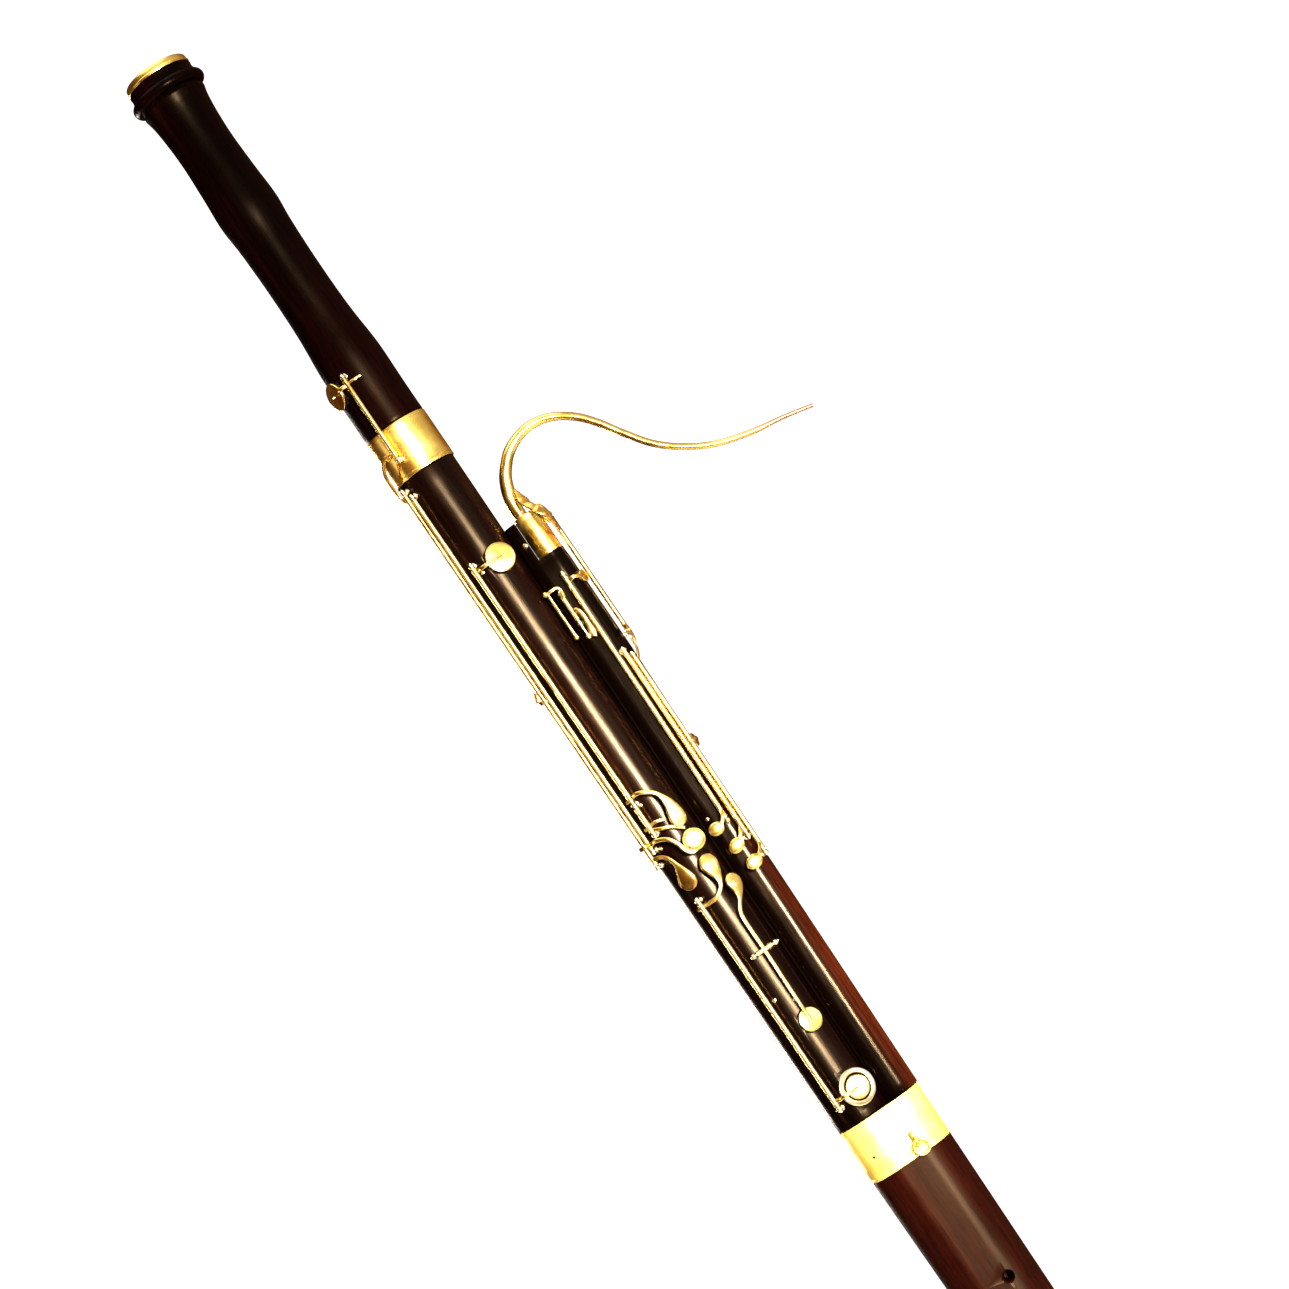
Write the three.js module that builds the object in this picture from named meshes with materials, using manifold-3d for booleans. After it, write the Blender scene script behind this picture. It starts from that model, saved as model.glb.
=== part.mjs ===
// Bassoon of the 19th-century French pattern: four wooden joints, brass mounts and keywork, and a crook.
// Millimetres. +Z runs from the boot cap up to the bell, -Y is the thumb side, +X is the wing side.
// The origin is the centre of the flat bottom of the boot cap.
import * as THREE from 'three';
import { mergeVertices } from 'three/addons/utils/BufferGeometryUtils.js';
import Module from 'manifold-3d';

const wasm = await Module();
wasm.setup();

// ---- driving dimensions -------------------------------------------------------------------------
const TOTAL_LENGTH = 1340;
const JOINT_Z = 443; // where the long and wing joints leave the boot
const BELL_Z = 991; // lower end of the bell and its ferrule
const LONG_X = -11.5; // axis of the long joint and bell
const LONG_R_LOW = 20.6;
const LONG_R_TOP = 22.9;
const BELL_FERRULE_R = 24.1;
const BELL_FERRULE_TOP = 1029.7;
const BELL_FOOT_R = 23.7;
const WING_TOP = 924;
const SOCKET_X = 29.5; // axis of the ferrule round the wing's top
const SOCKET_R = 9.5;
const CROOK_X = 27.3; // axis of the bore that holds the crook
const SOCKET_LOW = 893;
const BOOT_HALF_TOP = 32.6;
const BOOT_HALF_LOW = 27.6;
const BOOT_R_TOP = 23.6;
const BOOT_R_LOW = 21;
const BOOT_FERRULE_LOW = 401.7;
const BOOT_CAP_TOP = 44;
const BOOT_WOOD_LOW = 38;
const GAP = 0.3; // between pieces that touch
const WING_BORE_X = 18;
const WING_BORE_R = 6.2;
const LONG_BORE_R = 10;
const LONG_SOCKET_R = 14.4;
const WING_SOCKET_R = 9.6;
const SOCKET_FLOOR = 395;
const TUBE_R = 1.8; // key hinge tubes
const TUBE_BORE_R = 1.15;
const AXLE_R = 0.85;
const BALL_R = 2.2; // pillar heads
const LIFT = 4.5; // usual height of a hinge above the wood
const WELD = 2e-3; // corners closer than this are one corner

// ---- solids -------------------------------------------------------------------------------------
// Merges the corners of a geometry that are closer than `tolerance` and drops the triangles that vanish.
function welded(geometry, tolerance) {
  const bare = geometry.clone();
  bare.deleteAttribute('normal');
  bare.deleteAttribute('uv');
  const merged = mergeVertices(bare, tolerance);
  const corners = merged.index.array;
  const kept = [];
  for (let i = 0; i < corners.length; i += 3) {
    const [a, b, c] = [corners[i], corners[i + 1], corners[i + 2]];
    if (a !== b && b !== c && c !== a) kept.push(a, b, c);
  }
  merged.setIndex(kept);
  return merged;
}

function toSolid(geometry) {
  const merged = welded(geometry, 1e-4);
  return new wasm.Manifold(new wasm.Mesh({
    numProp: 3,
    vertProperties: new Float32Array(merged.attributes.position.array),
    triVerts: new Uint32Array(merged.index.array),
  }));
}

function toGeometry(solid) {
  const mesh = solid.getMesh();
  const geometry = new THREE.BufferGeometry();
  geometry.setAttribute('position', new THREE.BufferAttribute(new Float32Array(mesh.vertProperties), 3));
  geometry.setIndex(new THREE.BufferAttribute(new Uint32Array(mesh.triVerts), 1));
  const clean = welded(geometry, WELD);
  clean.computeVertexNormals();
  return clean;
}

const join = (solids) => solids.reduce((whole, next) => whole.add(next));
const cut = (solid, tools) => tools.reduce((rest, tool) => rest.subtract(tool), solid);

// A lathe about +Z: the profile is a list of [radius, height] that ends on the axis or closes on itself.
function turned(profile, sides = 20, centre = [0, 0]) {
  const points = profile.map(([r, z]) => new THREE.Vector2(r, z));
  const geometry = new THREE.LatheGeometry(points, sides);
  geometry.rotateX(Math.PI / 2);
  geometry.translate(centre[0], centre[1], 0);
  return toSolid(geometry);
}

// The same lathe with its base at a point and its axis along a direction.
function turnedAlong(profile, sides, base, direction) {
  const points = profile.map(([r, z]) => new THREE.Vector2(r, z));
  const geometry = new THREE.LatheGeometry(points, sides);
  const turn = new THREE.Quaternion().setFromUnitVectors(new THREE.Vector3(0, 1, 0), direction);
  geometry.applyQuaternion(turn);
  geometry.translate(base.x, base.y, base.z);
  return toSolid(geometry);
}

const alongPath = (shape, extrudePath, steps, curveSegments) =>
  new THREE.ExtrudeGeometry(shape, { extrudePath, steps, curveSegments, bevelEnabled: false });

const disc = (r, length) => [[0, 0], [r, 0], [r, length], [0, length]];
const ring = (inner, outer, low, high) =>
  [[inner, low], [outer, low], [outer, high], [inner, high], [inner, low]];
const bar = (r, from, to, sides = 8) =>
  turnedAlong(disc(r, from.distanceTo(to)), sides, from, to.clone().sub(from).normalize());

// A loft through slot-shaped sections {z, left, right, radius, y}: two half circles joined by straights.
function slotLoft(sections, sides = 20) {
  const half = sides / 2;
  const rings = sections.map(({ z, left, right, radius, y = 0 }) => {
    const points = [];
    for (let i = 0; i <= half; i++) {
      const a = -Math.PI / 2 + (Math.PI * i) / half;
      points.push([right + radius * Math.cos(a), y + radius * Math.sin(a), z]);
    }
    for (let i = 0; i <= half; i++) {
      const a = Math.PI / 2 + (Math.PI * i) / half;
      points.push([left + radius * Math.cos(a), y + radius * Math.sin(a), z]);
    }
    return points;
  });
  return toSolid(skin(rings));
}

// Closes a stack of equal rings of points, each counter-clockwise seen from the last one, into a shell.
function skin(rings) {
  const count = rings[0].length;
  const positions = rings.flat(2);
  const faces = [];
  for (let j = 0; j + 1 < rings.length; j++) {
    for (let i = 0; i < count; i++) {
      const next = (i + 1) % count;
      const [a, b, c, d] = [j * count + i, j * count + next, (j + 1) * count + next, (j + 1) * count + i];
      faces.push(a, b, c, a, c, d);
    }
  }
  const last = (rings.length - 1) * count;
  for (let i = 1; i + 1 < count; i++) {
    faces.push(0, i + 1, i);
    faces.push(last, last + i, last + i + 1);
  }
  const geometry = new THREE.BufferGeometry();
  geometry.setAttribute('position', new THREE.Float32BufferAttribute(positions, 3));
  geometry.setIndex(faces);
  return geometry;
}

// ---- wooden surfaces: where a point at height `lift` above the wood lies, and which way it faces --
function bassSection(z) {
  let radius = LONG_R_LOW + ((LONG_R_TOP - LONG_R_LOW) * (z - JOINT_Z)) / (BELL_Z - JOINT_Z);
  if (z > BELL_Z - 1) radius = BELL_FERRULE_R;
  if (z > BELL_FERRULE_TOP + 1) radius = BELL_FOOT_R;
  return { left: LONG_X, right: LONG_X, radius };
}

const WING_SECTIONS = [
  { z: JOINT_Z, left: 18, right: 20.1, radius: 13.4 },
  { z: 628, left: 18, right: 22.8, radius: 13.2 },
  { z: 806, left: 19, right: 26.8, radius: 12.7 },
  { z: 884, left: 19, right: 28.6, radius: 11 },
  { z: 890, left: 19, right: 29, radius: 10.3 },
  { z: WING_TOP, left: 19, right: SOCKET_X, radius: 9.6 },
];

function wingSection(z) {
  const upper = Math.max(1, WING_SECTIONS.findIndex((section) => section.z >= z));
  const [a, b] = [WING_SECTIONS[upper - 1], WING_SECTIONS[upper]];
  const t = THREE.MathUtils.clamp((z - a.z) / (b.z - a.z), 0, 1);
  const mix = (key) => THREE.MathUtils.lerp(a[key], b[key], t);
  return { left: mix('left'), right: mix('right'), radius: mix('radius') };
}

function bootSection(z) {
  const t = z / JOINT_Z;
  const radius = THREE.MathUtils.lerp(BOOT_R_LOW, BOOT_R_TOP, t);
  const reach = THREE.MathUtils.lerp(BOOT_HALF_LOW, BOOT_HALF_TOP, t) - radius;
  return { left: -reach, right: reach, radius };
}

function surface(sectionAt, side = -1) {
  const normal = (x, z, lift = 0) => {
    const { left, right, radius } = sectionAt(z);
    const off = x - THREE.MathUtils.clamp(x, left, right);
    const nx = THREE.MathUtils.clamp(off / (radius + lift), -1, 1);
    return new THREE.Vector3(nx, side * Math.sqrt(1 - nx * nx), 0);
  };
  const at = (x, z, lift) => {
    const { left, right, radius } = sectionAt(z);
    const centre = new THREE.Vector3(THREE.MathUtils.clamp(x, left, right), 0, z);
    return centre.addScaledVector(normal(x, z, lift), radius + lift);
  };
  const foot = (point) => {
    const { left, right, radius } = sectionAt(point.z);
    const centre = new THREE.Vector3(THREE.MathUtils.clamp(point.x, left, right), 0, point.z);
    const out = point.clone().sub(centre);
    return { height: out.length() - radius, normal: out.normalize() };
  };
  return { normal, at, foot, sectionAt };
}

const BASS = surface(bassSection);
const WING = surface(wingSection);
const BOOT_BACK = surface(bootSection, -1);
const BOOT_FRONT = surface(bootSection, 1);

// ---- keywork parts ------------------------------------------------------------------------------
// A lever is a flat bar along a path of [x, z, lift]. `head` swells its end into a drop-shaped touch, or
// into a pointed leaf that is `leaf` long.
function lever(wood, spec) {
  const { path, head = 0, thick = 1.8 } = spec;
  const spine = new THREE.CatmullRomCurve3(path.map(([x, z, lift]) => wood.at(x, z, lift)));
  const length = spine.getLength();
  const steps = path.length + (head ? 3 : 0);
  const rings = [];
  for (let i = 0; i <= steps; i++) {
    const t = head ? 1 - (1 - i / steps) ** 1.7 : i / steps;
    const point = spine.getPointAt(t);
    const along = spine.getTangentAt(t);
    const out = wood.foot(point).normal;
    const across = new THREE.Vector3().crossVectors(out, along).normalize();
    const up = new THREE.Vector3().crossVectors(along, across).normalize();
    const half = leverHalfWidth(length * (1 - t), spec);
    const section = [[1, 0], [0.55, 1], [-0.55, 1], [-1, 0], [-0.55, -1], [0.55, -1]];
    rings.push(section.map(([a, b]) => point.clone()
      .addScaledVector(across, a * half)
      .addScaledVector(up, (b * thick) / 2)
      .toArray()));
  }
  return toSolid(skin(rings));
}

function leverHalfWidth(toEnd, { head = 0, tail = 10, width = 3, leaf = 0 }) {
  if (!head) return width / 2;
  if (leaf && toEnd < leaf) return THREE.MathUtils.lerp(0.5, head, (toEnd / leaf) ** 0.8);
  if (!leaf && toEnd < head) return Math.max(0.35, Math.sqrt(toEnd * (2 * head - toEnd)));
  const fade = THREE.MathUtils.smoothstep(toEnd, leaf || head, (leaf || head) + tail);
  return THREE.MathUtils.lerp(head, width / 2, fade);
}

// A domed oval touch brazed on the end of a lever. Its radii lie across and along the joint, `tilt` turns
// it in its own plane, and `lean` turns its face from the wood's normal towards the thumb side.
function touchSolid(wood, { at: [x, z, lift], radii: [a, b], tilt = 0, lean = 0 }) {
  const facing = wood.normal(x, z, lift).lerp(new THREE.Vector3(0, -1, 0), lean).normalize();
  const turn = THREE.MathUtils.degToRad(tilt);
  const right = new THREE.Vector3(0, 0, 1).cross(facing).applyAxisAngle(facing, turn);
  const down = right.clone().cross(facing);
  const profile = [[0, 0], [0.86, 0], [1, 0.7], [0.86, 1.6], [0.5, 2.2], [0, 2.4]];
  const geometry = new THREE.LatheGeometry(profile.map(([r, h]) => new THREE.Vector2(r, h)), 12);
  const frame = new THREE.Matrix4().makeBasis(right.multiplyScalar(a), facing, down.multiplyScalar(b));
  geometry.applyMatrix4(frame.setPosition(wood.at(x, z, lift)));
  return toSolid(geometry);
}

// Where a pad lies: on the flat seat cut in the wood under it. `swing` turns the pad of an open-standing
// key away from its seat about the key's axle.
function padPlace(wood, { x, z, radius }, swing) {
  const out = wood.normal(x, z);
  const { left, right, radius: woodR } = wood.sectionAt(z);
  const seat = Math.sqrt(woodR ** 2 - (radius - 0.5) ** 2);
  const centre = new THREE.Vector3(THREE.MathUtils.clamp(x, left, right), 0, z);
  const seatPoint = centre.clone().addScaledVector(out, seat);
  const padBase = seatPoint.clone().addScaledVector(out, GAP);
  const facing = out.clone();
  if (swing) {
    padBase.sub(swing.pivot).applyAxisAngle(swing.axis, swing.angle).add(swing.pivot);
    facing.applyAxisAngle(swing.axis, swing.angle);
  }
  return { out, centre, seat, seatPoint, padBase, facing };
}

const PAD_THICK = 2;
const CUP_TOP = 1.1;

function padSolid(wood, cup, swing) {
  const { facing, padBase } = padPlace(wood, cup, swing);
  return turnedAlong(disc(cup.radius - 1.2, PAD_THICK), 10, padBase, facing);
}

function cupSolid(wood, cup, swing) {
  const { facing, padBase } = padPlace(wood, cup, swing);
  const [r, inner, ceiling] = [cup.radius, cup.radius - 0.8, PAD_THICK + GAP];
  const hollow = [[0, ceiling], [inner, ceiling], [inner, 0.8]];
  const profile = [...hollow, [r, 0.8], [r, ceiling], [0, ceiling + CUP_TOP]];
  return turnedAlong(profile, 12, padBase, facing);
}

// The flat seat and tone hole that a pad closes, as one tool to cut from the wood.
function seatTool(wood, cup, holeR = cup.radius * 0.42) {
  const { out, centre, seatPoint } = padPlace(wood, cup);
  return turnedAlong(disc(cup.radius + 0.8, 12), 12, seatPoint, out)
    .add(turnedAlong(disc(holeR, seatPoint.distanceTo(centre) + 1), 8, centre, out));
}

// A steel axle between ball pillars that stand on the wood at each of its points.
function axleSolid(wood, points) {
  const rods = [bar(AXLE_R, points[0], points.at(-1), 6)];
  const pillars = points.map((point) => {
    const { height, normal } = wood.foot(point);
    const base = point.clone().addScaledVector(normal, -height + GAP);
    const top = height - GAP;
    const profile = [[0, 0], [2.3, 0], [1.1, 1.2], [1.1, top - 1.6], [BALL_R, top - 0.6],
      [BALL_R * 0.9, top + 1.1], [0, top + BALL_R]];
    return turnedAlong(profile, 6, base, normal);
  });
  return join([...rods, ...pillars]);
}

// The hollow tube of a key between two points of its axle, with its levers, touch and cup brazed on.
function keySolid({ wood, levers = [], touch, cup }, from, to, swing) {
  const pieces = [bar(TUBE_R, from, to, 8), ...levers.map((spec) => lever(wood, spec))];
  if (touch) pieces.push(touchSolid(wood, touch));
  if (cup) pieces.push(cupSolid(wood, cup, swing));
  const along = to.clone().sub(from).normalize();
  const past = (end, reach) => end.clone().addScaledVector(along, reach);
  return join(pieces).subtract(bar(TUBE_BORE_R, past(from, -6), past(to, 6), 6));
}

// ---- materials and scene ------------------------------------------------------------------------
const finish = (color, roughness, metalness) => ({ color, roughness, metalness });
const ROSEWOOD = finish(0x2a0f10, 0.35, 0);
const BRASS = finish(0xd9a93c, 0.28, 1);
const STEEL = finish(0xb9bcc2, 0.3, 1);
const LEATHER = finish(0xcdb48c, 0.8, 0);
const THREAD = finish(0xb04a32, 0.9, 0);
const CORK = finish(0xb98a5a, 0.85, 0);

function named(name, solid, look) {
  const mesh = new THREE.Mesh(toGeometry(solid), new THREE.MeshStandardMaterial(look));
  mesh.name = name;
  return mesh;
}

function group(...meshes) {
  const assembly = new THREE.Group();
  assembly.add(...meshes);
  return assembly;
}

// Each key is a table of its axle points, tube ends, levers, touch and cup, on one wooden surface. `open`
// is the angle in degrees that an open-standing key's cup is turned about its axle, away from its seat.
function keyMeshes(key) {
  const { name, wood, pillars, tube, cup, open = 0 } = key;
  const axlePoints = pillars.map(([x, z, lift]) => wood.at(x, z, lift));
  const along = axlePoints.at(-1).clone().sub(axlePoints[0]);
  const reach = along.length();
  along.normalize();
  const from = axlePoints[0].clone().addScaledVector(along, tube[0]);
  const to = axlePoints[0].clone().addScaledVector(along, tube[1] < 0 ? reach + tube[1] : tube[1]);
  const swing = { pivot: axlePoints[0], axis: along, angle: THREE.MathUtils.degToRad(open) };
  const meshes = [named(name, keySolid(key, from, to, swing), BRASS)];
  if (!key.sharesAxle) meshes.push(named(`${name}_axle`, axleSolid(wood, axlePoints), STEEL));
  if (cup) meshes.push(named(`${name}_pad`, padSolid(wood, cup, swing), LEATHER));
  return meshes;
}

const END = BALL_R + 0.5; // a tube stops this far short of its pillar's centre

// ---- keys of the long joint and bell ------------------------------------------------------------
const BELL_KEY = {
  name: 'bell_key', wood: BASS,
  pillars: [[-21.8, 1076, LIFT], [-21.8, 1005, LIFT]],
  tube: [END, -END],
  levers: [
    { path: [[-21.8, 1069.5, LIFT], [-28, 1069.5, 7.2], [-33, 1069.5, 6.2], [-35.6, 1069.5, 3.6]] },
    { path: [[-21.8, 1070, LIFT], [-16, 1070, 4], [-10.5, 1070, 2.5]], width: 1.8, thick: 1.2 },
    { path: [[-21.8, 1010, LIFT], [-25, 1010, 5], [-28.6, 1010, LIFT]], width: 4 },
  ],
  cup: { x: -32.6, z: 1069.5, radius: 10.5 },
  open: -5,
};

const LOW_B_FLAT_KEY = {
  name: 'low_b_flat_key', wood: BASS,
  pillars: [[-32.6, 985, 4.6], [-32.2, 667, 4.8]],
  tube: [END, -END],
  levers: [
    { path: [[-32.6, 976, 4.6], [-36.2, 984, 6.2], [-36.2, 1000, 9], [-31, 1010, 9.3], [-27.2, 1011, 8.5]] },
    {
      path: [[-32.2, 673, 4.7], [-28.2, 672.4, 7.4], [-23.8, 669.6, 8.4], [-21.1, 664.8, 8.4],
        [-19.8, 658.4, 8.4], [-19.7, 650.9, 8], [-20.3, 640.6, 7.4]],
      head: 6.8, tail: 17,
    },
  ],
};

const LOW_B_KEY = {
  name: 'low_b_key', wood: BASS,
  pillars: [[-21.7, 913.6, 4.4], [-21.3, 712.1, 4.4], [-21.2, 687, 4.4]],
  tube: [END, 201.5 - END],
  levers: [
    { path: [[-21.7, 908.5, 4.4], [-15, 908.5, 7.4], [-7, 908.5, 6.6], [0.3, 908.5, 4.4]] },
    {
      path: [[-21.3, 717.1, 4.4], [-17, 717.4, 7], [-12.6, 716.4, 8.4], [-5.2, 711.6, 9.4], [-2, 706.3, 9.4],
        [-0.4, 699.9, 9], [-0.4, 692.5, 8.6], [-1.3, 681.3, 8]],
      head: 6.4, tail: 24,
    },
  ],
  cup: { x: -1.6, z: 908.5, radius: 11 },
  open: 7.3,
};

const LINK_KEY = {
  name: 'b_link_lever', wood: BASS, sharesAxle: true,
  pillars: [[-21.3, 712.1, 4.4], [-21.2, 687, 4.4]],
  tube: [END, -END],
  levers: [
    { path: [[-21.3, 693.5, 4.4], [-15.5, 694, 5.8], [-9.5, 692, 5.6]], width: 2.4, thick: 1.5 },
    { path: [[-21.3, 691, 4.4], [-15, 688, 5.6], [-8, 685, 5.3], [-0.8, 679.6, 5]], width: 2.6, thick: 1.5 },
  ],
};

const C_KEY = {
  name: 'low_c_key', wood: BASS,
  pillars: [[-28.9, 978.5, 4.6], [-28.6, 678, 4.6]],
  tube: [END, -END],
  levers: [
    {
      path: [[-28.9, 807, 4.6], [-32.6, 807, 8.9], [-36.4, 808, 8.2], [-37.2, 811.5, 4.4], [-35.9, 816.8, 2.8]],
    },
    {
      path: [[-28.6, 684, 4.6], [-26.6, 682.8, 7.6], [-22.2, 682.6, 9], [-15.2, 679.1, 10], [-10.9, 672.2, 10],
        [-9.1, 665.8, 9.8], [-5.6, 662, 9.7], [-1.2, 662.4, 10.1]],
    },
    { path: [[-28.6, 683.6, 4.6], [-31.4, 683.6, 8.8], [-35.4, 683.6, 8.6]] },
  ],
  touch: { at: [0, 669, 10.4], radii: [8.1, 8.1], lean: 0.6 },
  cup: { x: -33.3, z: 816.8, radius: 8.6 },
};

const D_KEY = {
  name: 'low_d_key', wood: BASS,
  pillars: [[-22.1, 632, 4.4], [-21.9, 458.6, 4.6]],
  tube: [END, -END],
  levers: [
    {
      path: [[-22.1, 627, 4.4], [-14.6, 626.5, 7], [-9.3, 627, 8.2], [-2.9, 631.8, 8.6], [-0.8, 639.2, 8.7],
        [-1.1, 649.9, 8.6], [-2.2, 656.5, 8.2]],
      head: 6.9, tail: 18,
    },
    { path: [[-21.9, 464.5, 4.6], [-15, 464.5, 8.4], [-8.5, 464.5, 7.8], [-1.2, 464.5, 5.4]] },
  ],
  cup: { x: -3.2, z: 464.5, radius: 8.6 },
  open: 7.8,
};

const E_FLAT_KEY = {
  name: 'low_e_flat_key', wood: BASS,
  pillars: [[-11.6, 578.6, 5], [6.4, 578.6, 9.5]],
  tube: [END, -END],
  levers: [{
    path: [[-3.6, 520, 2.6], [-3.4, 545, 4.8], [-2.7, 578.6, 6.4], [-2.6, 603, 7], [-0.8, 611, 7.8],
      [3.6, 618, 8.8], [6.2, 626, 9.2], [6.1, 635.9, 9]],
    head: 6.2, tail: 15,
  }],
  cup: { x: -3.7, z: 521, radius: 8.8 },
};

// ---- keys of the wing joint ---------------------------------------------------------------------
const WING_A_KEY = {
  name: 'wing_a_key', wood: WING,
  pillars: [[28.3, 874.4, 4.2], [26.4, 667, 4.2]],
  tube: [END, -END],
  levers: [
    { path: [[26.6, 677, 4.2], [25.6, 672, 6.8], [22.3, 667.8, 7.6], [18.5, 666.4, 7.8]] },
    { path: [[28.3, 867.6, 4.2], [33.4, 868.6, 6.8], [37.7, 867, 5.4], [40.1, 866.5, 2.9]] },
  ],
  touch: { at: [16.8, 666.2, 7.8], radii: [5.8, 4.9] },
  cup: { x: 38.2, z: 866.5, radius: 4.8 },
};

const WING_C_KEY = {
  name: 'wing_c_key', wood: WING,
  pillars: [[33.4, 806, 4.2], [32.3, 650.5, 4.2]],
  tube: [END, -END],
  levers: [
    { path: [[32.3, 660, 4.2], [29.8, 655.8, 7], [27.4, 652.5, 7.8], [24, 649.8, 8]] },
    { path: [[32.9, 727, 4.2], [36.2, 727, 9.1], [40.4, 727, 8], [41, 727, 3.2]] },
  ],
  touch: { at: [21.9, 648.8, 8], radii: [6.3, 5], tilt: 20 },
  cup: { x: 37.2, z: 727, radius: 5.6 },
};

const CROOK_LEVER = {
  name: 'crook_thumb_lever', wood: WING,
  pillars: [[37.1, 800, 3.8], [35.9, 634, 4]],
  tube: [END, -END],
  levers: [
    { path: [[36, 643.5, 4], [34.8, 639.2, 6.6], [31.6, 635.4, 8], [28, 633.4, 8.2]] },
    { path: [[37.1, 794, 3.8], [40.2, 798.5, 3.8], [42.2, 804, 3.4], [42.7, 811, 3]], width: 2.4, thick: 1.5 },
  ],
  touch: { at: [25.8, 632.8, 8.2], radii: [6.3, 5.1], tilt: 10 },
};

const CROOK_KEY = {
  name: 'crook_key', wood: WING,
  pillars: [[44, 917, 4.8], [44, 816, 4.4]],
  tube: [END, -END],
  levers: [
    {
      path: [[44, 822, 4.4], [44.7, 818, 8.2], [44.7, 811.5, 7.2], [43.1, 806.5, 5.4]],
      width: 2.6, thick: 1.6,
    },
    {
      path: [[44, 904.5, 4.8], [44.4, 910, 8.4], [42.6, 917, 9.8], [39.6, 922, 8.4], [36.8, 926, 6]],
      head: 4.6, tail: 13, width: 4,
    },
    {
      path: [[40, 921, 8.8], [36.8, 927, 5.8], [34.6, 932, 2], [33.7, 938, -0.6], [33.4, 944.5, -1.6]],
      head: 4.2, leaf: 11, tail: 5, width: 5,
    },
  ],
};

const C_SHARP_KEY = {
  name: 'wing_c_sharp_key', wood: WING,
  pillars: [[19, 864, 4.2], [18.8, 839, 4.2], [18.8, 828.6, 4.2]],
  tube: [END, 24.9 - END],
  levers: [
    {
      path: [[19, 858.5, 4.2], [20.6, 864, 8.8], [19.5, 868, 10.2], [15.5, 868.4, 11.4], [11.3, 868.2, 11.6]],
      width: 2.2, thick: 1.6,
    },
    { path: [[11.3, 869.2, 11.6], [11.3, 852, 11.6], [11.3, 831.5, 11.2]], width: 2, thick: 1.6 },
    { path: [[18.9, 846, 4.2], [21.4, 848.6, 6], [23.9, 843, 6.2], [22.6, 825.5, 5.8]], head: 2.6, tail: 12 },
  ],
};

// ---- keys of the boot ---------------------------------------------------------------------------
const F_KEY = {
  name: 'boot_f_key', wood: BOOT_FRONT,
  pillars: [[-24, 236, LIFT], [-23.4, 90, LIFT]],
  tube: [END, -END],
  levers: [
    { path: [[-24, 229, LIFT], [-17, 231, 7.6], [-9, 231, 8.4], [-1, 229, 8]], head: 7.4, tail: 7 },
    { path: [[-23.4, 99, LIFT], [-17, 99, 7.2], [-8, 99, 4.1]] },
  ],
  cup: { x: -8.5, z: 99, radius: 11 },
  open: -8.9,
};

const A_FLAT_KEY = {
  name: 'boot_a_flat_key', wood: BOOT_FRONT,
  pillars: [[4.5, 172, 5], [20, 172, 5.6]],
  tube: [END, -END],
  levers: [{
    path: [[13.5, 122, 2.4], [13, 148, 4.4], [12, 172, 5.4], [11, 186, 6.4], [8.5, 197, 7.6], [6.5, 208, 7.4]],
    head: 6.4, tail: 14,
  }],
  cup: { x: 13.5, z: 123, radius: 8.8 },
};

const F_SHARP_KEY = {
  name: 'boot_f_sharp_key', wood: BOOT_BACK,
  pillars: [[-12, 196, 5.4], [4, 196, 5]],
  tube: [END, -END],
  levers: [{
    path: [[-6, 143, 2.4], [-5, 170, 4.4], [-4, 196, 5.2], [-3, 212, 6.4], [0, 224, 7.6], [1, 236, 7.4]],
    head: 6.4, tail: 14,
  }],
  cup: { x: -6, z: 144, radius: 8.8 },
};

const BASS_KEYS = [BELL_KEY, LOW_B_FLAT_KEY, LOW_B_KEY, LINK_KEY, C_KEY, D_KEY, E_FLAT_KEY];
const WING_KEYS = [WING_A_KEY, WING_C_KEY, CROOK_LEVER, CROOK_KEY, C_SHARP_KEY];
const BOOT_KEYS = [F_KEY, A_FLAT_KEY, F_SHARP_KEY];

// ---- bell joint ---------------------------------------------------------------------------------
const RIM_LOW = 1333.4;
const BELL_MOUTH_R = 17.5;

function bellWood() {
  const outside = [
    [22.8, BELL_Z + GAP], [22.8, BELL_FERRULE_TOP], [BELL_FOOT_R, BELL_FERRULE_TOP + GAP], [24, 1082],
    [22.3, 1110], [21, 1148], [21.9, 1197], [23.3, 1218], [22.1, 1241], [21.2, 1269], [22.5, 1298],
    [25, 1313], [28.8, 1319], [29.2, 1326], [25.2, RIM_LOW - GAP],
  ];
  const inside = [
    [BELL_MOUTH_R, RIM_LOW - GAP], [15.5, 1240], [16.5, 1120], [15.4, BELL_FERRULE_TOP + 1],
    [18, BELL_FERRULE_TOP + 1], [18, BELL_Z + GAP],
  ];
  const wood = turned([...outside, ...inside, outside[0]], 20, [LONG_X, 0]);
  return wood.subtract(seatTool(BASS, BELL_KEY.cup));
}

function bellRimCap() {
  const profile = [[BELL_MOUTH_R, RIM_LOW], [25.1, RIM_LOW], [25.4, 1336], [24.6, 1339.2], [23.6, TOTAL_LENGTH],
    [18.4, TOTAL_LENGTH], [BELL_MOUTH_R, 1339], [BELL_MOUTH_R, RIM_LOW]];
  return turned(profile, 20, [LONG_X, 0]);
}

function bellFerrule() {
  const profile = [[23.1, BELL_Z], [23.8, BELL_Z], [BELL_FERRULE_R, BELL_Z + 1], [BELL_FERRULE_R, 1028.6],
    [23.8, BELL_FERRULE_TOP - 0.1], [23.1, BELL_FERRULE_TOP - 0.1], [23.1, BELL_Z]];
  return turned(profile, 20, [LONG_X, 0]);
}

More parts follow.
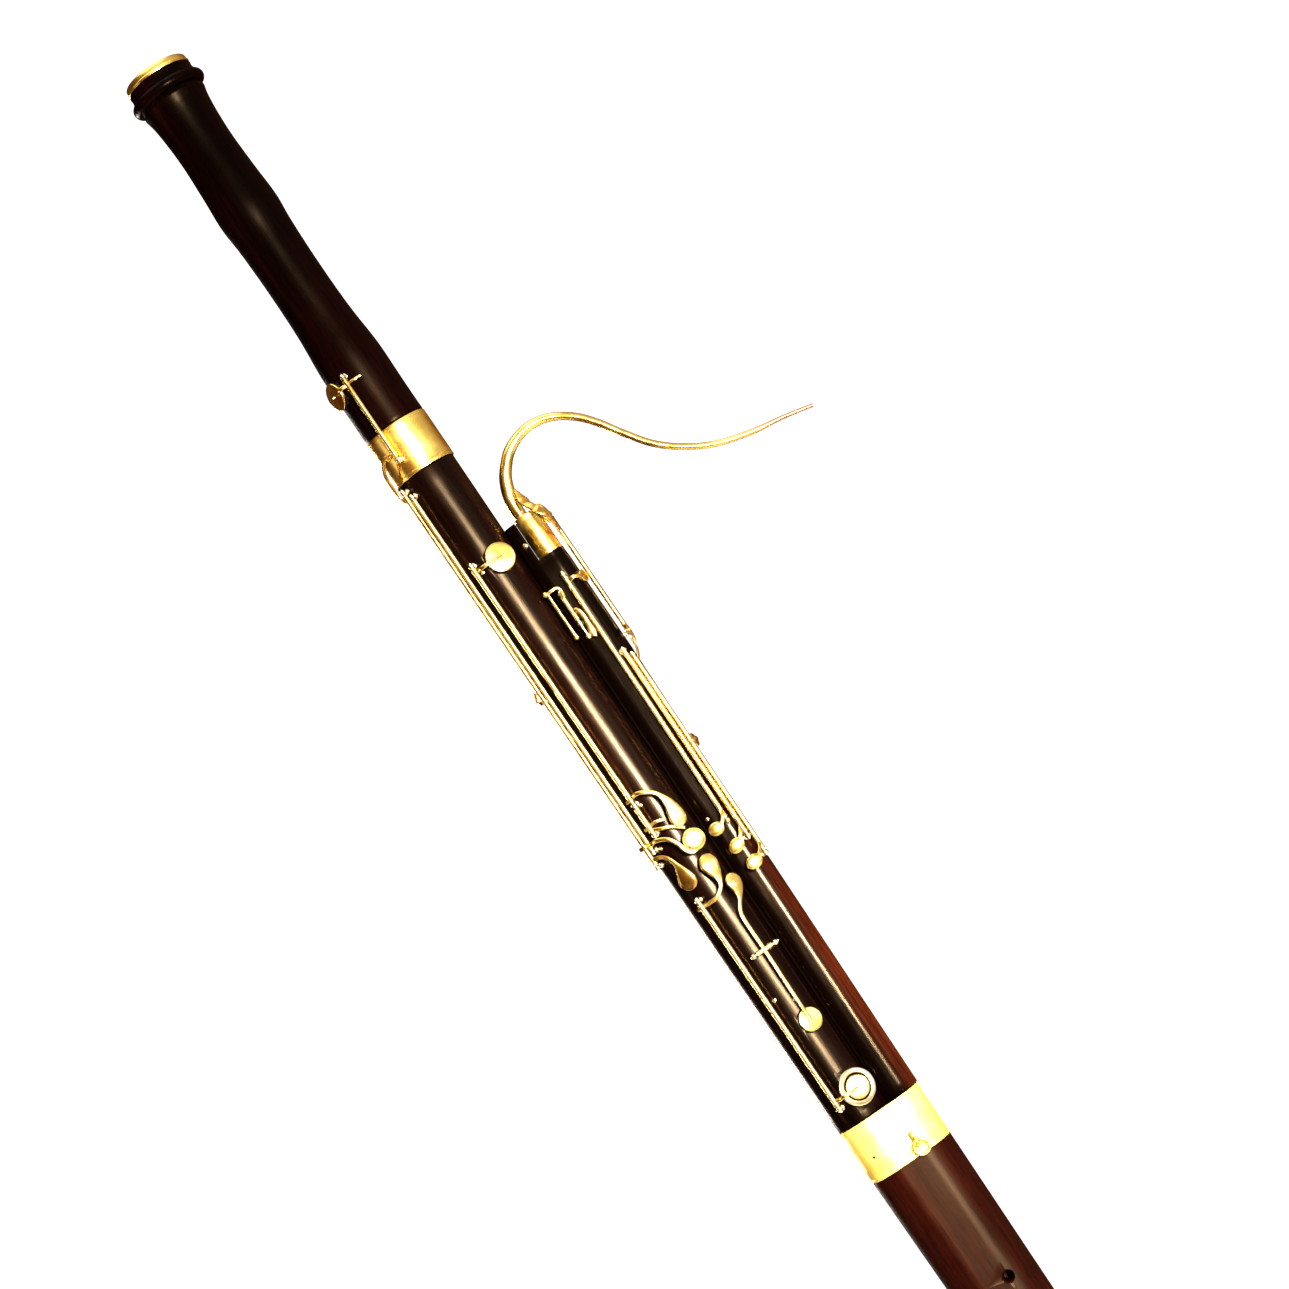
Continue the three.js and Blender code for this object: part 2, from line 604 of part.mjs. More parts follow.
// ---- long joint ---------------------------------------------------------------------------------
const TENON_TOP = 1028;
const LONG_TENON_R = 13.4;
const TOP_TENON_R = 17;

function longWood() {
  const outside = [
    [LONG_TENON_R, SOCKET_FLOOR + 1], [LONG_TENON_R, JOINT_Z + GAP], [LONG_R_LOW, JOINT_Z + GAP],
    [LONG_R_LOW + 0.7, 640], [LONG_R_TOP - 0.5, 880], [LONG_R_TOP, BELL_Z - GAP], [TOP_TENON_R, BELL_Z - GAP],
    [TOP_TENON_R, TENON_TOP],
  ];
  const inside = [[14.2, TENON_TOP], [LONG_BORE_R, SOCKET_FLOOR + 1]];
  const wood = turned([...outside, ...inside, outside[0]], 20, [LONG_X, 0]);
  const seats = [LOW_B_KEY, C_KEY, E_FLAT_KEY].map((key) => seatTool(BASS, key.cup));
  return cut(wood, [...seats, ...guardSeat()]);
}

// The D pad's seat is one flat across the foot of the joint, wide enough for the guard ring.
function guardSeat() {
  const { out, centre, seat } = padPlace(BASS, D_KEY.cup);
  const block = new THREE.BoxGeometry(44, 12, 31);
  block.rotateZ(Math.atan2(out.x, -out.y));
  const middle = centre.clone().addScaledVector(out, seat + 6);
  block.translate(middle.x, middle.y, D_KEY.cup.z);
  return [toSolid(block), seatTool(BASS, D_KEY.cup)];
}

function guardRing() {
  const { out, seatPoint } = padPlace(BASS, D_KEY.cup);
  const base = seatPoint.clone().addScaledVector(out, GAP);
  const profile = [[9.8, 0], [13.5, 0], [13.7, 2], [12.6, 3], [10.6, 3], [9.8, 2.2], [9.8, 0]];
  return turnedAlong(profile, 18, base, out);
}

// A tenon's thread or cork wrapping: a sleeve on the tenon between two heights.
const wrap = (inner, outer, low, high, x) => turned(ring(inner, outer, low, high), 20, [x, 0]);

// ---- wing joint ---------------------------------------------------------------------------------
const WING_TENON_R = 8.5;
const WING_TENON_X = 18.6;
const SOCKET_BORE_R = 5.6;
const WING_HOLES = [[780, -0.5], [716, 0], [652, 0.35]]; // [height, slope] of the finger holes

function wingWood() {
  const body = slotLoft(WING_SECTIONS.map((section, i) => ({ ...section, z: section.z + (i ? 0 : GAP) })));
  const tenon = turned([[0, SOCKET_FLOOR + 1], [WING_TENON_R, SOCKET_FLOOR + 1], [WING_TENON_R, 450], [0, 450]],
    20, [WING_TENON_X, 0]);
  const room = turned([[0, JOINT_Z - 1], [LONG_R_LOW + 0.4, JOINT_Z - 1], [LONG_R_TOP + 0.4, BELL_Z],
    [0, BELL_Z]], 20, [LONG_X, 0]);
  const bore = bar(WING_BORE_R - 1, new THREE.Vector3(WING_TENON_X, 0, SOCKET_FLOOR - 1),
    new THREE.Vector3(CROOK_X, 0, SOCKET_LOW), 12);
  const crookBore = bar(SOCKET_BORE_R, new THREE.Vector3(CROOK_X, 0, SOCKET_LOW - 6),
    new THREE.Vector3(CROOK_X, 0, WING_TOP + 2), 16);
  const around = ring(SOCKET_R - 1.3, SOCKET_R + 4, SOCKET_LOW - GAP, WING_TOP + 1);
  const ferruleRoom = turned(around, 16, [SOCKET_X, 0]);
  const keepLeft = new THREE.BoxGeometry(30, 40, 60);
  keepLeft.translate(SOCKET_X - SOCKET_R - 15.3, 0, WING_TOP);
  const seats = [WING_A_KEY, WING_C_KEY].map((key) => seatTool(WING, key.cup));
  const whole = body.add(epaule()).subtract(room).add(tenon);
  return cut(whole, [bore, crookBore, ferruleRoom.subtract(toSolid(keepLeft)), ...fingerHoles(), ...seats]);
}

// The thick flank on the finger side that lets the three finger holes slant to reach the hand.
function epaule() {
  return slotLoft([
    { z: 596, left: 18, right: 21, radius: 10, y: 2 },
    { z: 622, left: 19, right: 23, radius: 10, y: 11 },
    { z: 800, left: 20, right: 25, radius: 10, y: 12 },
    { z: 838, left: 20, right: 26, radius: 9.5, y: 1 },
  ], 20);
}

function fingerHoles() {
  return WING_HOLES.map(([z, slope]) => {
    const mouth = new THREE.Vector3(24, 26, z + slope * 26);
    const inside = new THREE.Vector3(22, 0, z);
    return bar(3.2, inside, mouth, 12);
  });
}

function crookSocket() {
  const profile = [[SOCKET_R - 1, SOCKET_LOW], [SOCKET_R, SOCKET_LOW], [SOCKET_R, 922.6], [SOCKET_R - 0.5, 926],
    [0, 926], [0, WING_TOP + GAP], [SOCKET_R - 1, WING_TOP + GAP], [SOCKET_R - 1, SOCKET_LOW]];
  const hole = bar(SOCKET_BORE_R + 0.2, new THREE.Vector3(CROOK_X, 0, WING_TOP - 1),
    new THREE.Vector3(CROOK_X, 0, 928), 16);
  return turned(profile, 20, [SOCKET_X, 0]).subtract(hole);
}

// ---- crook --------------------------------------------------------------------------------------
const CROOK_FOOT = 894;
const CROOK_ROUTE = [
  [CROOK_X, CROOK_FOOT], [CROOK_X, 912], [26.5, 930], [27.7, 942], [32, 954], [38, 962.4], [46, 970], [58, 975.4],
  [70.5, 976.7], [84, 973.2], [98, 963.8], [109, 951], [120, 934.2], [132.4, 917.2], [148, 903.6], [168, 892],
  [194, 884.2], [218.7, 880.2], [241.3, 875.3],
];
const CROOK_R_FOOT = 4.2;
const CROOK_RADII = [ // [share of the length from the foot, outer radius]
  [0, CROOK_R_FOOT], [0.103, CROOK_R_FOOT], [0.12, 5], [0.15, 5], [0.25, 4.2], [0.32, 3.5], [0.42, 3], [0.57, 2.6],
  [0.72, 2.4], [0.84, 2.2], [0.93, 1.5], [1, 1.3],
];
const CROOK_WALL = 0.7;

function crookRadius(share) {
  const next = Math.max(1, CROOK_RADII.findIndex(([at]) => at >= share));
  const [[a, from], [b, to]] = [CROOK_RADII[next - 1], CROOK_RADII[next]];
  return THREE.MathUtils.lerp(from, to, (share - a) / (b - a));
}

function crookSolid() {
  const spine = new THREE.CatmullRomCurve3(CROOK_ROUTE.map(([x, z]) => new THREE.Vector3(x, 0, z)));
  const shape = new THREE.Shape().absarc(0, 0, 1, 0, Math.PI * 2);
  const steps = 30;
  const shell = (inset) => {
    const geometry = alongPath(shape, spine, steps, 4);
    const position = geometry.attributes.position;
    const centres = spine.getSpacedPoints(steps);
    const point = new THREE.Vector3();
    for (let i = 0; i < position.count; i++) {
      point.fromBufferAttribute(position, i);
      const near = nearestIndex(centres, point);
      const radius = crookRadius(near / steps) - inset;
      point.sub(centres[near]).multiplyScalar(radius).add(centres[near]);
      if (inset && (near === 0 || near === steps)) {
        point.addScaledVector(spine.getTangentAt(near / steps), near ? 0.5 : -0.5);
      }
      position.setXYZ(i, point.x, point.y, point.z);
    }
    return toSolid(geometry);
  };
  return shell(0).subtract(shell(CROOK_WALL));
}

function nearestIndex(centres, point) {
  const distances = centres.map((centre) => centre.distanceToSquared(point));
  return distances.indexOf(Math.min(...distances));
}

const crookCork = () => wrap(CROOK_R_FOOT + GAP, SOCKET_BORE_R - GAP, CROOK_FOOT + 2, 916, CROOK_X);

// ---- boot ---------------------------------------------------------------------------------------
const FINGER_HOLES = [[352, 3.4], [308, 3.4], [262, 3.6]];
const THUMB_HOLE = { x: 10.1, z: 300, radius: 3.4, bevel: 5.8 };

const bootSlot = (z, grow) => {
  const { left, right, radius } = bootSection(z);
  return { z, left, right, radius: radius + grow };
};

function bootWood() {
  const body = slotLoft([
    bootSlot(BOOT_WOOD_LOW, -1.6), bootSlot(BOOT_CAP_TOP, -1.6), bootSlot(BOOT_CAP_TOP + GAP, 0),
    bootSlot(BOOT_FERRULE_LOW - GAP, 0), bootSlot(BOOT_FERRULE_LOW - GAP, -1.6), bootSlot(JOINT_Z - 1.6, -1.6),
  ], 20);
  const low = BOOT_WOOD_LOW - 1;
  const column = (r, x, from, to) => turned([[0, from], [r, from], [r, to], [0, to]], 20, [x, 0]);
  const hollows = [
    column(LONG_BORE_R - 1, LONG_X, low, JOINT_Z + 1),
    column(LONG_SOCKET_R, LONG_X, SOCKET_FLOOR, JOINT_Z + 1),
    column(WING_BORE_R, WING_BORE_X, low, JOINT_Z + 1),
    column(WING_SOCKET_R, WING_TENON_X, SOCKET_FLOOR, JOINT_Z + 1),
  ];
  const fingers = FINGER_HOLES.map(([z, r]) =>
    bar(r, new THREE.Vector3(WING_BORE_X - 4, 0, z), new THREE.Vector3(WING_BORE_X - 6, 30, z), 12));
  const seats = [seatTool(BOOT_FRONT, F_KEY.cup), seatTool(BOOT_FRONT, A_FLAT_KEY.cup),
    seatTool(BOOT_BACK, F_SHARP_KEY.cup)];
  return cut(body, [...hollows, ...fingers, ...thumbHole(), ...seats]);
}

function thumbHole() {
  const { x, z, radius, bevel } = THUMB_HOLE;
  const wood = bootSection(z).radius;
  const dish = [[0, wood - 3], [radius, wood - 3], [bevel, wood + 0.2], [bevel, wood + 4], [0, wood + 4]];
  const back = new THREE.Vector3(0, -1, 0);
  const centre = new THREE.Vector3(x, 0, z);
  return [turnedAlong(dish, 16, centre, back), bar(radius, centre, centre.clone().setY(-wood), 12)];
}

// An oval brass sleeve, open at the top and bottom.
function ovalSleeve(low, high, grow, wall) {
  const shell = slotLoft([bootSlot(low, grow), bootSlot(high, grow)], 20);
  return shell.subtract(slotLoft([bootSlot(low - 1, grow - wall), bootSlot(high + 1, grow - wall)], 20));
}

const bootFerrule = () => {
  const sleeve = ovalSleeve(BOOT_FERRULE_LOW, JOINT_Z, 0.1, 1.3);
  return sleeve.subtract(bar(1, new THREE.Vector3(-21, -30, 418), new THREE.Vector3(-21, 0, 418), 8));
};

function bootCap() {
  const shell = slotLoft([bootSlot(0, -1.2), bootSlot(1.2, 0.2), bootSlot(BOOT_CAP_TOP, 0.2)], 20);
  return shell.subtract(slotLoft([bootSlot(1.4, -1.2), bootSlot(BOOT_CAP_TOP + 1, -1.2)], 20));
}

// The half-round tube that joins the two bores at the foot of the boot.
class HalfTurn extends THREE.Curve {
  constructor(left, right, z) {
    super();
    Object.assign(this, { left, right, z });
  }

  getPoint(t, target = new THREE.Vector3()) {
    const radius = (this.right - this.left) / 2;
    const angle = Math.PI * (1 + t);
    return target.set(this.left + radius * (1 + Math.cos(angle)), 0, this.z + radius * Math.sin(angle));
  }
}

function uBend() {
  const route = new HalfTurn(LONG_X, WING_BORE_X, BOOT_WOOD_LOW - GAP);
  const tube = new THREE.Shape().absarc(0, 0, 8.6, 0, Math.PI * 2);
  tube.holes.push(new THREE.Path().absarc(0, 0, 7.4, 0, Math.PI * 2, true));
  return toSolid(alongPath(tube, route, 8, 5));
}

// ---- strap ring ---------------------------------------------------------------------------------
const RING_X = 10.6;
const RING_Z = 412; // height of the eye's centre
const RING_OUTER = 6.6;
const RING_WIRE = 1.1;

function ringBracket() {
  const face = -(bootSection(RING_Z).radius + 0.1 + GAP);
  const plate = new THREE.BoxGeometry(7, 1, 12);
  plate.translate(RING_X, face - 0.5, RING_Z + 1);
  const lug = new THREE.CylinderGeometry(3, 3, 2.4, 14);
  lug.rotateZ(Math.PI / 2);
  lug.translate(RING_X, face - 3, RING_Z);
  const eye = new THREE.CylinderGeometry(1.6, 1.6, 6, 12);
  eye.rotateZ(Math.PI / 2);
  eye.translate(RING_X, face - 3.2, RING_Z);
  return toSolid(plate).add(toSolid(lug)).subtract(toSolid(eye));
}

function strapRing() {
  const face = -(bootSection(RING_Z).radius + 0.1 + GAP);
  const torus = new THREE.TorusGeometry(RING_OUTER - RING_WIRE, RING_WIRE, 6, 16);
  torus.rotateX(Math.PI / 2);
  torus.translate(RING_X, face - 3.2, RING_Z - RING_OUTER + RING_WIRE);
  return toSolid(torus);
}

// ---- the instrument -----------------------------------------------------------------------------
const keysOf = (keys) => keys.flatMap(keyMeshes);

const bassoon = group(
  group(
    named('boot_joint', bootWood(), ROSEWOOD),
    named('boot_ferrule', bootFerrule(), BRASS),
    named('boot_cap', bootCap(), BRASS),
    named('u_bend_tube', uBend(), BRASS),
    named('strap_ring_bracket', ringBracket(), BRASS),
    named('strap_ring', strapRing(), BRASS),
    ...keysOf(BOOT_KEYS),
  ),
  group(
    named('long_joint', longWood(), ROSEWOOD),
    named('long_joint_lower_wrap', wrap(LONG_TENON_R + GAP, LONG_SOCKET_R - GAP, 400, 438, LONG_X), THREAD),
    named('long_joint_upper_wrap', wrap(TOP_TENON_R + GAP, 18 - GAP, 995, 1025, LONG_X), THREAD),
    named('d_pad_guard_ring', guardRing(), BRASS),
    named('bell_joint', bellWood(), ROSEWOOD),
    named('bell_ferrule', bellFerrule(), BRASS),
    named('bell_rim_cap', bellRimCap(), BRASS),
    ...keysOf(BASS_KEYS),
  ),
  group(
    named('wing_joint', wingWood(), ROSEWOOD),
    named('wing_joint_wrap', wrap(WING_TENON_R + GAP, WING_SOCKET_R - GAP, 400, 438, WING_TENON_X), THREAD),
    named('crook_socket', crookSocket(), BRASS),
    ...keysOf(WING_KEYS),
  ),
  group(
    named('crook', crookSolid(), BRASS),
    named('crook_cork', crookCork(), CORK),
  ),
);

export default bassoon;
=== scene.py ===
import math

import bmesh
import bpy
from mathutils import Matrix, Quaternion, Vector


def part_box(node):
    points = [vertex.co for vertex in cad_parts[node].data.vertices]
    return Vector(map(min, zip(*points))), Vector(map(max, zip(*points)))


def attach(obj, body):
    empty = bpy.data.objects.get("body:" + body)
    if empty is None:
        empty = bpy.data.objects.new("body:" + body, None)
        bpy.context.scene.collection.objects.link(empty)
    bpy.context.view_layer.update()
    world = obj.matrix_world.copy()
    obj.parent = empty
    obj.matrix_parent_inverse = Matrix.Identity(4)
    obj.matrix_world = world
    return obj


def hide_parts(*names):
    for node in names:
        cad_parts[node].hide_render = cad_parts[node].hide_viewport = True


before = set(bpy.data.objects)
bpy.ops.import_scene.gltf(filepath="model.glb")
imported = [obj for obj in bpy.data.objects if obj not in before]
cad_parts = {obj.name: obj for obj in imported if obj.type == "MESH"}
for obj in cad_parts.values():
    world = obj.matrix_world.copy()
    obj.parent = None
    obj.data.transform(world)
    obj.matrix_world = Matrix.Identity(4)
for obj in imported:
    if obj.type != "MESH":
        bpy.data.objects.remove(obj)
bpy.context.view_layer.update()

# The bassoon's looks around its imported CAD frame. Shapes are written in millimetres of the shared
# frame (+Z up the instrument, -Y the thumb side, +X the wing side) and become metres in the meshes.
MM = 0.001

# Dimensions, read from the CAD frame or shared with it


def heights(node):
    """The lowest and highest point of a CAD node, in millimetres."""
    return [(Vector(corner) / MM).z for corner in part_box(node)]


RIM_LOW, TOP = heights("bell_rim_cap")
BELL_Z, BELL_FERRULE_TOP = heights("bell_ferrule")
SOCKET_LOW, SOCKET_TOP = heights("crook_socket")
BOOT_FERRULE_LOW, JOINT_Z = heights("boot_ferrule")
BOOT_WOOD_LOW = heights("boot_joint")[0]
BOOT_CAP_TOP = heights("boot_cap")[1]
LONG_X = -11.5
LONG_R_LOW, LONG_R_TOP = 20.6, 22.9
BELL_FERRULE_R, BELL_FERRULE_BORE_R = 24.1, 23.1
BELL_FOOT_R, BELL_MOUTH_R = 23.7, 17.5
BELL_SOCKET_R = 18
SOCKET_X, SOCKET_R, SOCKET_BORE_R = 29.5, 9.5, 5.6
CROOK_X = 27.3
WING_TOP = 924.0
WING_NECK_Z = 884
BOOT_HALF_TOP, BOOT_HALF_LOW = 32.6, 27.6
BOOT_R_TOP, BOOT_R_LOW = 23.6, 21.0
SOCKET_FLOOR = 395.0
WING_TENON_X, WING_TENON_R, WING_SOCKET_R = 18.6, 8.5, 9.6
WING_BORE_X, WING_BORE_R = 18.0, 6.2
LONG_TENON_R, LONG_SOCKET_R, LONG_BORE_R = 13.4, 14.4, 10.0
GAP = 0.3
TUBE_R, TUBE_BORE_R, AXLE_R, BALL_R = 1.8, 1.0, 0.85, 2.2
LIFT = 4.5
END = BALL_R + 0.5
PAD_THICK = 2.0
LONGEST_STRETCH = 12.0
CUP_WALL = 0.8
TOUCH_FLAT = 0.93
FERRULE_WALL = 1.2
ROUND = 96
POLE_R = 0.004  # a lathe's ends on its axis keep this radius until doubles are merged
UP = Vector((0, 0, 1))
FORWARD = Vector((0, -1, 0))

# Camera and light
CAMERA_AIM = Vector((47.7, 0, 802.4)) * MM
CAMERA_DISTANCE = 2.4648
CAMERA_RISE, CAMERA_ROLL = math.radians(4.5), math.radians(34.3)
CAMERA_LENS, SENSOR_WIDTH, CLIP_START = 97.75, 36, 0.05
BACKDROP_STRENGTH = 1.25
BRIGHT_SIDE = Vector((0.78, -0.55, 0.3)).normalized()


def add_camera():
    look = Vector((0, math.cos(CAMERA_RISE), math.sin(CAMERA_RISE)))
    right = Vector((1, 0, 0))
    up = right.cross(look)
    side = right * math.cos(CAMERA_ROLL) - up * math.sin(CAMERA_ROLL)
    above = right * math.sin(CAMERA_ROLL) + up * math.cos(CAMERA_ROLL)
    data = bpy.data.cameras.new("camera")
    data.lens, data.sensor_width, data.clip_start = CAMERA_LENS, SENSOR_WIDTH, CLIP_START
    camera = bpy.data.objects.new("camera", data)
    turn = Matrix((side, above, -look)).transposed().to_4x4()
    camera.matrix_world = Matrix.Translation(CAMERA_AIM - look * CAMERA_DISTANCE) @ turn
    bpy.context.scene.collection.objects.link(camera)
    bpy.context.scene.camera = camera


def add_area(name, place, aim, size, power, color=(1, 1, 1), spread=180):
    data = bpy.data.lights.new(name, "AREA")
    data.shape = "RECTANGLE"
    data.size, data.size_y = size
    data.energy, data.color, data.spread = power, color, math.radians(spread)
    light = bpy.data.objects.new(name, data)
    light.location = place
    light.rotation_euler = (Vector(aim) - Vector(place)).to_track_quat("-Z", "Y").to_euler()
    bpy.context.scene.collection.objects.link(light)


def add_lights():
    add_area("key_light", (0.68, -2.3, 0.75), (0, 0, 0.65), (0.36, 0.6), 30, (1, 0.88, 0.7), 50)
    add_area("left_light", (-2.5, -0.7, 0.8), (0, 0, 0.75), (0.6, 1.4), 6, (1, 0.9, 0.76))
    add_area("right_light", (2.1, -1.5, 0.7), (0, 0, 0.6), (0.5, 0.9), 6, (1, 0.9, 0.8))
    add_area("back_light", (-1.5, 2.3, 0.85), (0, 0, 0.65), (0.4, 1.2), 40, (1, 0.9, 0.78))
    add_area("top_light", (0, -0.4, 3.2), (0, 0, 0), (2.4, 2.4), 38)


def add_world():
    """White where the camera sees it; elsewhere bright on the camera's side and dark brown behind."""
    world = bpy.data.worlds.new("studio")
    world.use_nodes = True
    world.node_tree.nodes.clear()
    nodes = Nodes(world.node_tree)
    way = nodes.node("TexCoord").outputs["Generated"]
    facing = nodes.node("VectorMath", (way, BRIGHT_SIDE), operation="DOT_PRODUCT").outputs["Value"]
    color = nodes.ramp(nodes.span(facing, -0.35, 1.0), (0, (0.08, 0.03, 0.008)), (0.45, (0.3, 0.16, 0.055)),
                       (1, (0.62, 0.58, 0.52)))
    lit = nodes.node("Background", {"Color": color}).outputs[0]
    seen = nodes.node("Background", {"Strength": BACKDROP_STRENGTH}).outputs[0]
    camera_ray = nodes.node("LightPath").outputs["Is Camera Ray"]
    nodes.node("OutputWorld", [nodes.node("MixShader", (camera_ray, lit, seen)).outputs[0]])
    bpy.context.scene.world = world


def add_floor():
    """A round pale floor that ends inside the camera's view of the white backdrop."""
    mesh = bpy.data.meshes.new("floor")
    mesh.from_pydata([(c, s, 0) for c, s in around(ROUND)], [], [tuple(range(ROUND))])
    floor = bpy.data.objects.new("floor", mesh)
    bpy.context.scene.collection.objects.link(floor)
    floor.data.materials.append(floor_material())


# Shader nodes


class Nodes:
    """Makes and links shader nodes. A value is a constant or the output of another node."""

    def __init__(self, tree):
        self.tree = tree

    def wire(self, socket, value):
        if isinstance(value, bpy.types.NodeSocket):
            self.tree.links.new(value, socket)
        elif isinstance(value, tuple) and socket.type == "RGBA":
            socket.default_value = (*value, 1)
        else:
            socket.default_value = value

    def node(self, kind, inputs=(), **settings):
        """A shader node with settings, and with its inputs by name in a dict or in order in a list."""
        made = self.tree.nodes.new("ShaderNode" + kind)
        for key, value in settings.items():
            setattr(made, key, value)
        for key, value in inputs.items() if isinstance(inputs, dict) else enumerate(inputs):
            self.wire(made.inputs[key], value)
        return made

    def coords(self):
        return self.node("TexCoord").outputs["Object"]

    def place(self, scale=(1, 1, 1), shift=(0, 0, 0)):
        """Object coordinates in metres, stretched by a scale and then shifted."""
        return self.node("Mapping", {"Vector": self.coords(), "Location": shift, "Scale": scale}).outputs[0]

    def noise(self, vector, scale, detail=6.0, roughness=0.6, distortion=0.0):
        return self.node("TexNoise", {"Vector": vector, "Scale": scale, "Detail": detail,
                                      "Roughness": roughness, "Distortion": distortion}).outputs["Fac"]

    def ramp(self, source, *stops):
        made = self.node("ValToRGB", [source])
        elements = made.color_ramp.elements
        while len(elements) < len(stops):
            elements.new(0.5)
        for element, (at, color) in zip(elements, stops):
            element.position = at
            element.color = (*color, 1)
        return made.outputs["Color"]

    def mix(self, factor, a, b, blend="MIX"):
        made = self.node("Mix", data_type="RGBA", blend_type=blend)
        for socket, value in zip([s for s in made.inputs if s.enabled], (factor, a, b)):
            self.wire(socket, value)
        return [s for s in made.outputs if s.enabled][0]

    def math(self, operation, a, b):
        return self.node("Math", (a, b), operation=operation).outputs[0]

    def span(self, source, low, high, to_low=0.0, to_high=1.0):
        return self.node("MapRange", (source, low, high, to_low, to_high)).outputs[0]

    def bump(self, height, strength, distance, normal=None):
        inputs = {"Strength": strength, "Distance": distance, "Height": height}
        if normal is not None:
            inputs["Normal"] = normal
        return self.node("Bump", inputs).outputs["Normal"]


class Paint(Nodes):
    """The nodes of a new Principled material."""

    def __init__(self, name):
        self.material = bpy.data.materials.new(name)
        self.material.use_nodes = True
        super().__init__(self.material.node_tree)

    def set(self, **values):
        for key, value in values.items():
            self.wire(self.tree.nodes["Principled BSDF"].inputs[key.replace("_", " ")], value)
        return self.material


# Materials


def floor_material():
    paint = Paint("pale_floor")
    grain = paint.noise(paint.place(), 3.0, 3.0)
    return paint.set(Base_Color=paint.ramp(grain, (0.3, (0.9, 0.9, 0.9)), (0.7, (0.94, 0.94, 0.94))),
                     Roughness=0.9)


def wood_material(name, dark, deep, warm, shift, warmth, gloss, roughness=(0.26, 0.38), painted_shade=None):
    """Polished dark hardwood: long grain along Z, warm streaks, open pores and a clear finish.

    The shade fades, when given, paint shade: they darken the wood to its darkest tone outside a lit region;
    their fades run along X and along Z, in metres.
    """
    paint = Paint(name)
    broad_place = paint.place((1, 1, 0.06), shift)
    broad = paint.noise(broad_place, 42, 5, 0.55, 0.6)
    fine = paint.noise(broad_place, 420, 6, 0.7, 0.2)
    pores = paint.noise(paint.place((1, 1, 0.035)), 1500, 2, 0.5)
    patches = paint.noise(paint.place((1, 1, 0.25)), 9, 3, 0.5)
    figure = paint.ramp(broad, (0.32, dark), (0.55, deep), (0.8, warm))
    warmer = paint.mix(paint.span(patches, *warmth), figure, warm)
    streaks = paint.ramp(fine, (0.35, (0.35, 0.3, 0.3)), (0.62, (1.15, 1.12, 1.1)))
    pits = paint.ramp(pores, (0.30, (0.25, 0.22, 0.22)), (0.42, (1, 1, 1)))
    color = paint.mix(0.8, paint.mix(0.85, warmer, streaks, "MULTIPLY"), pits, "MULTIPLY")
    # Painted shade: the wood keeps its figure only past both fades and is painted its darkest tone elsewhere.
    if painted_shade:
        split = paint.node("SeparateXYZ", [paint.coords()]).outputs
        uneven = paint.span(broad, 0.3, 0.7, -0.006, 0.006)
        across = paint.span(paint.math("ADD", split["X"], uneven), *painted_shade[0])
        along = paint.span(split["Z"], *painted_shade[1])
        color = paint.mix(paint.math("MULTIPLY", across, along), dark, color)
    rough = paint.span(paint.noise(paint.place((1, 1, 0.3)), 60, 5, 0.6), 0.3, 0.75, *roughness)
    scratches = paint.noise(paint.place((1, 1, 0.12)), 700, 3, 0.6)
    grooved = paint.bump(pores, 0.35, 0.00012, paint.bump(broad, 0.2, 0.0006))
    worn = paint.bump(scratches, 0.10, 0.00006, grooved)
    return paint.set(Base_Color=color, Roughness=rough, Normal=worn, Specular_IOR_Level=gloss,
                     Specular_Tint=(1, 0.8, 0.58))


def metal_material(name, bright, dull, stain, roughness=(0.14, 0.3), metallic=1.0):
    """Hand-polished metal: cloudy polish, fine scratches, small dents and some stain in patches."""
    paint = Paint(name)
    place = paint.place()
    cloud = paint.noise(place, 55, 5, 0.6)
    patch = paint.noise(place, 26, 6, 0.65, 0.4)
    brushed = paint.noise(paint.place((1, 1, 0.12)), 1600, 3, 0.6)
    dents = paint.noise(place, 160, 2, 0.5)
    body = paint.ramp(cloud, (0.3, dull), (0.65, bright))
    color = paint.mix(paint.span(patch, 0.62, 0.8), body, stain)
    rough = paint.math("ADD", paint.span(cloud, 0.3, 0.7, *roughness), paint.span(patch, 0.5, 0.9, 0.0, 0.16))
    dented = paint.bump(dents, 0.08, 0.0002, paint.bump(brushed, 0.05, 0.00003))
    return paint.set(Base_Color=color, Metallic=metallic, Roughness=rough, Normal=dented)


def crook_material():
    """Brass that darkens to a reddish brown, and grows rougher, towards the reed end."""
    paint = Paint("crook_brass")
    split = paint.node("SeparateXYZ", [paint.coords()]).outputs
    cloud = paint.noise(paint.place(), 90, 5, 0.6)
    along = paint.math("ADD", split["X"], paint.span(cloud, 0.2, 0.8, -0.02, 0.02))
    reed_end_fade = paint.span(along, 0.165, 0.215)
    body = paint.ramp(cloud, (0.3, (0.86, 0.58, 0.13)), (0.65, (0.97, 0.76, 0.26)))
    rough = paint.math("ADD", paint.span(cloud, 0.3, 0.7, 0.15, 0.28), paint.math("MULTIPLY", reed_end_fade, 0.18))
    return paint.set(Base_Color=paint.mix(reed_end_fade, body, (0.36, 0.16, 0.08)), Metallic=1.0, Roughness=rough,
                     Normal=paint.bump(paint.noise(paint.place(), 900, 3, 0.6), 0.1, 0.00004))


def leather_material():
    paint = Paint("pad_leather")
    place = paint.place()
    grain = paint.node("TexVoronoi", {"Vector": place, "Scale": 1800}).outputs["Distance"]
    cloud = paint.noise(place, 300, 5, 0.6)
    color = paint.ramp(cloud, (0.3, (0.52, 0.40, 0.27)), (0.7, (0.74, 0.62, 0.45)))
    return paint.set(Base_Color=color, Roughness=paint.span(cloud, 0.3, 0.7, 0.6, 0.8),
                     Normal=paint.bump(grain, 0.4, 0.0001))


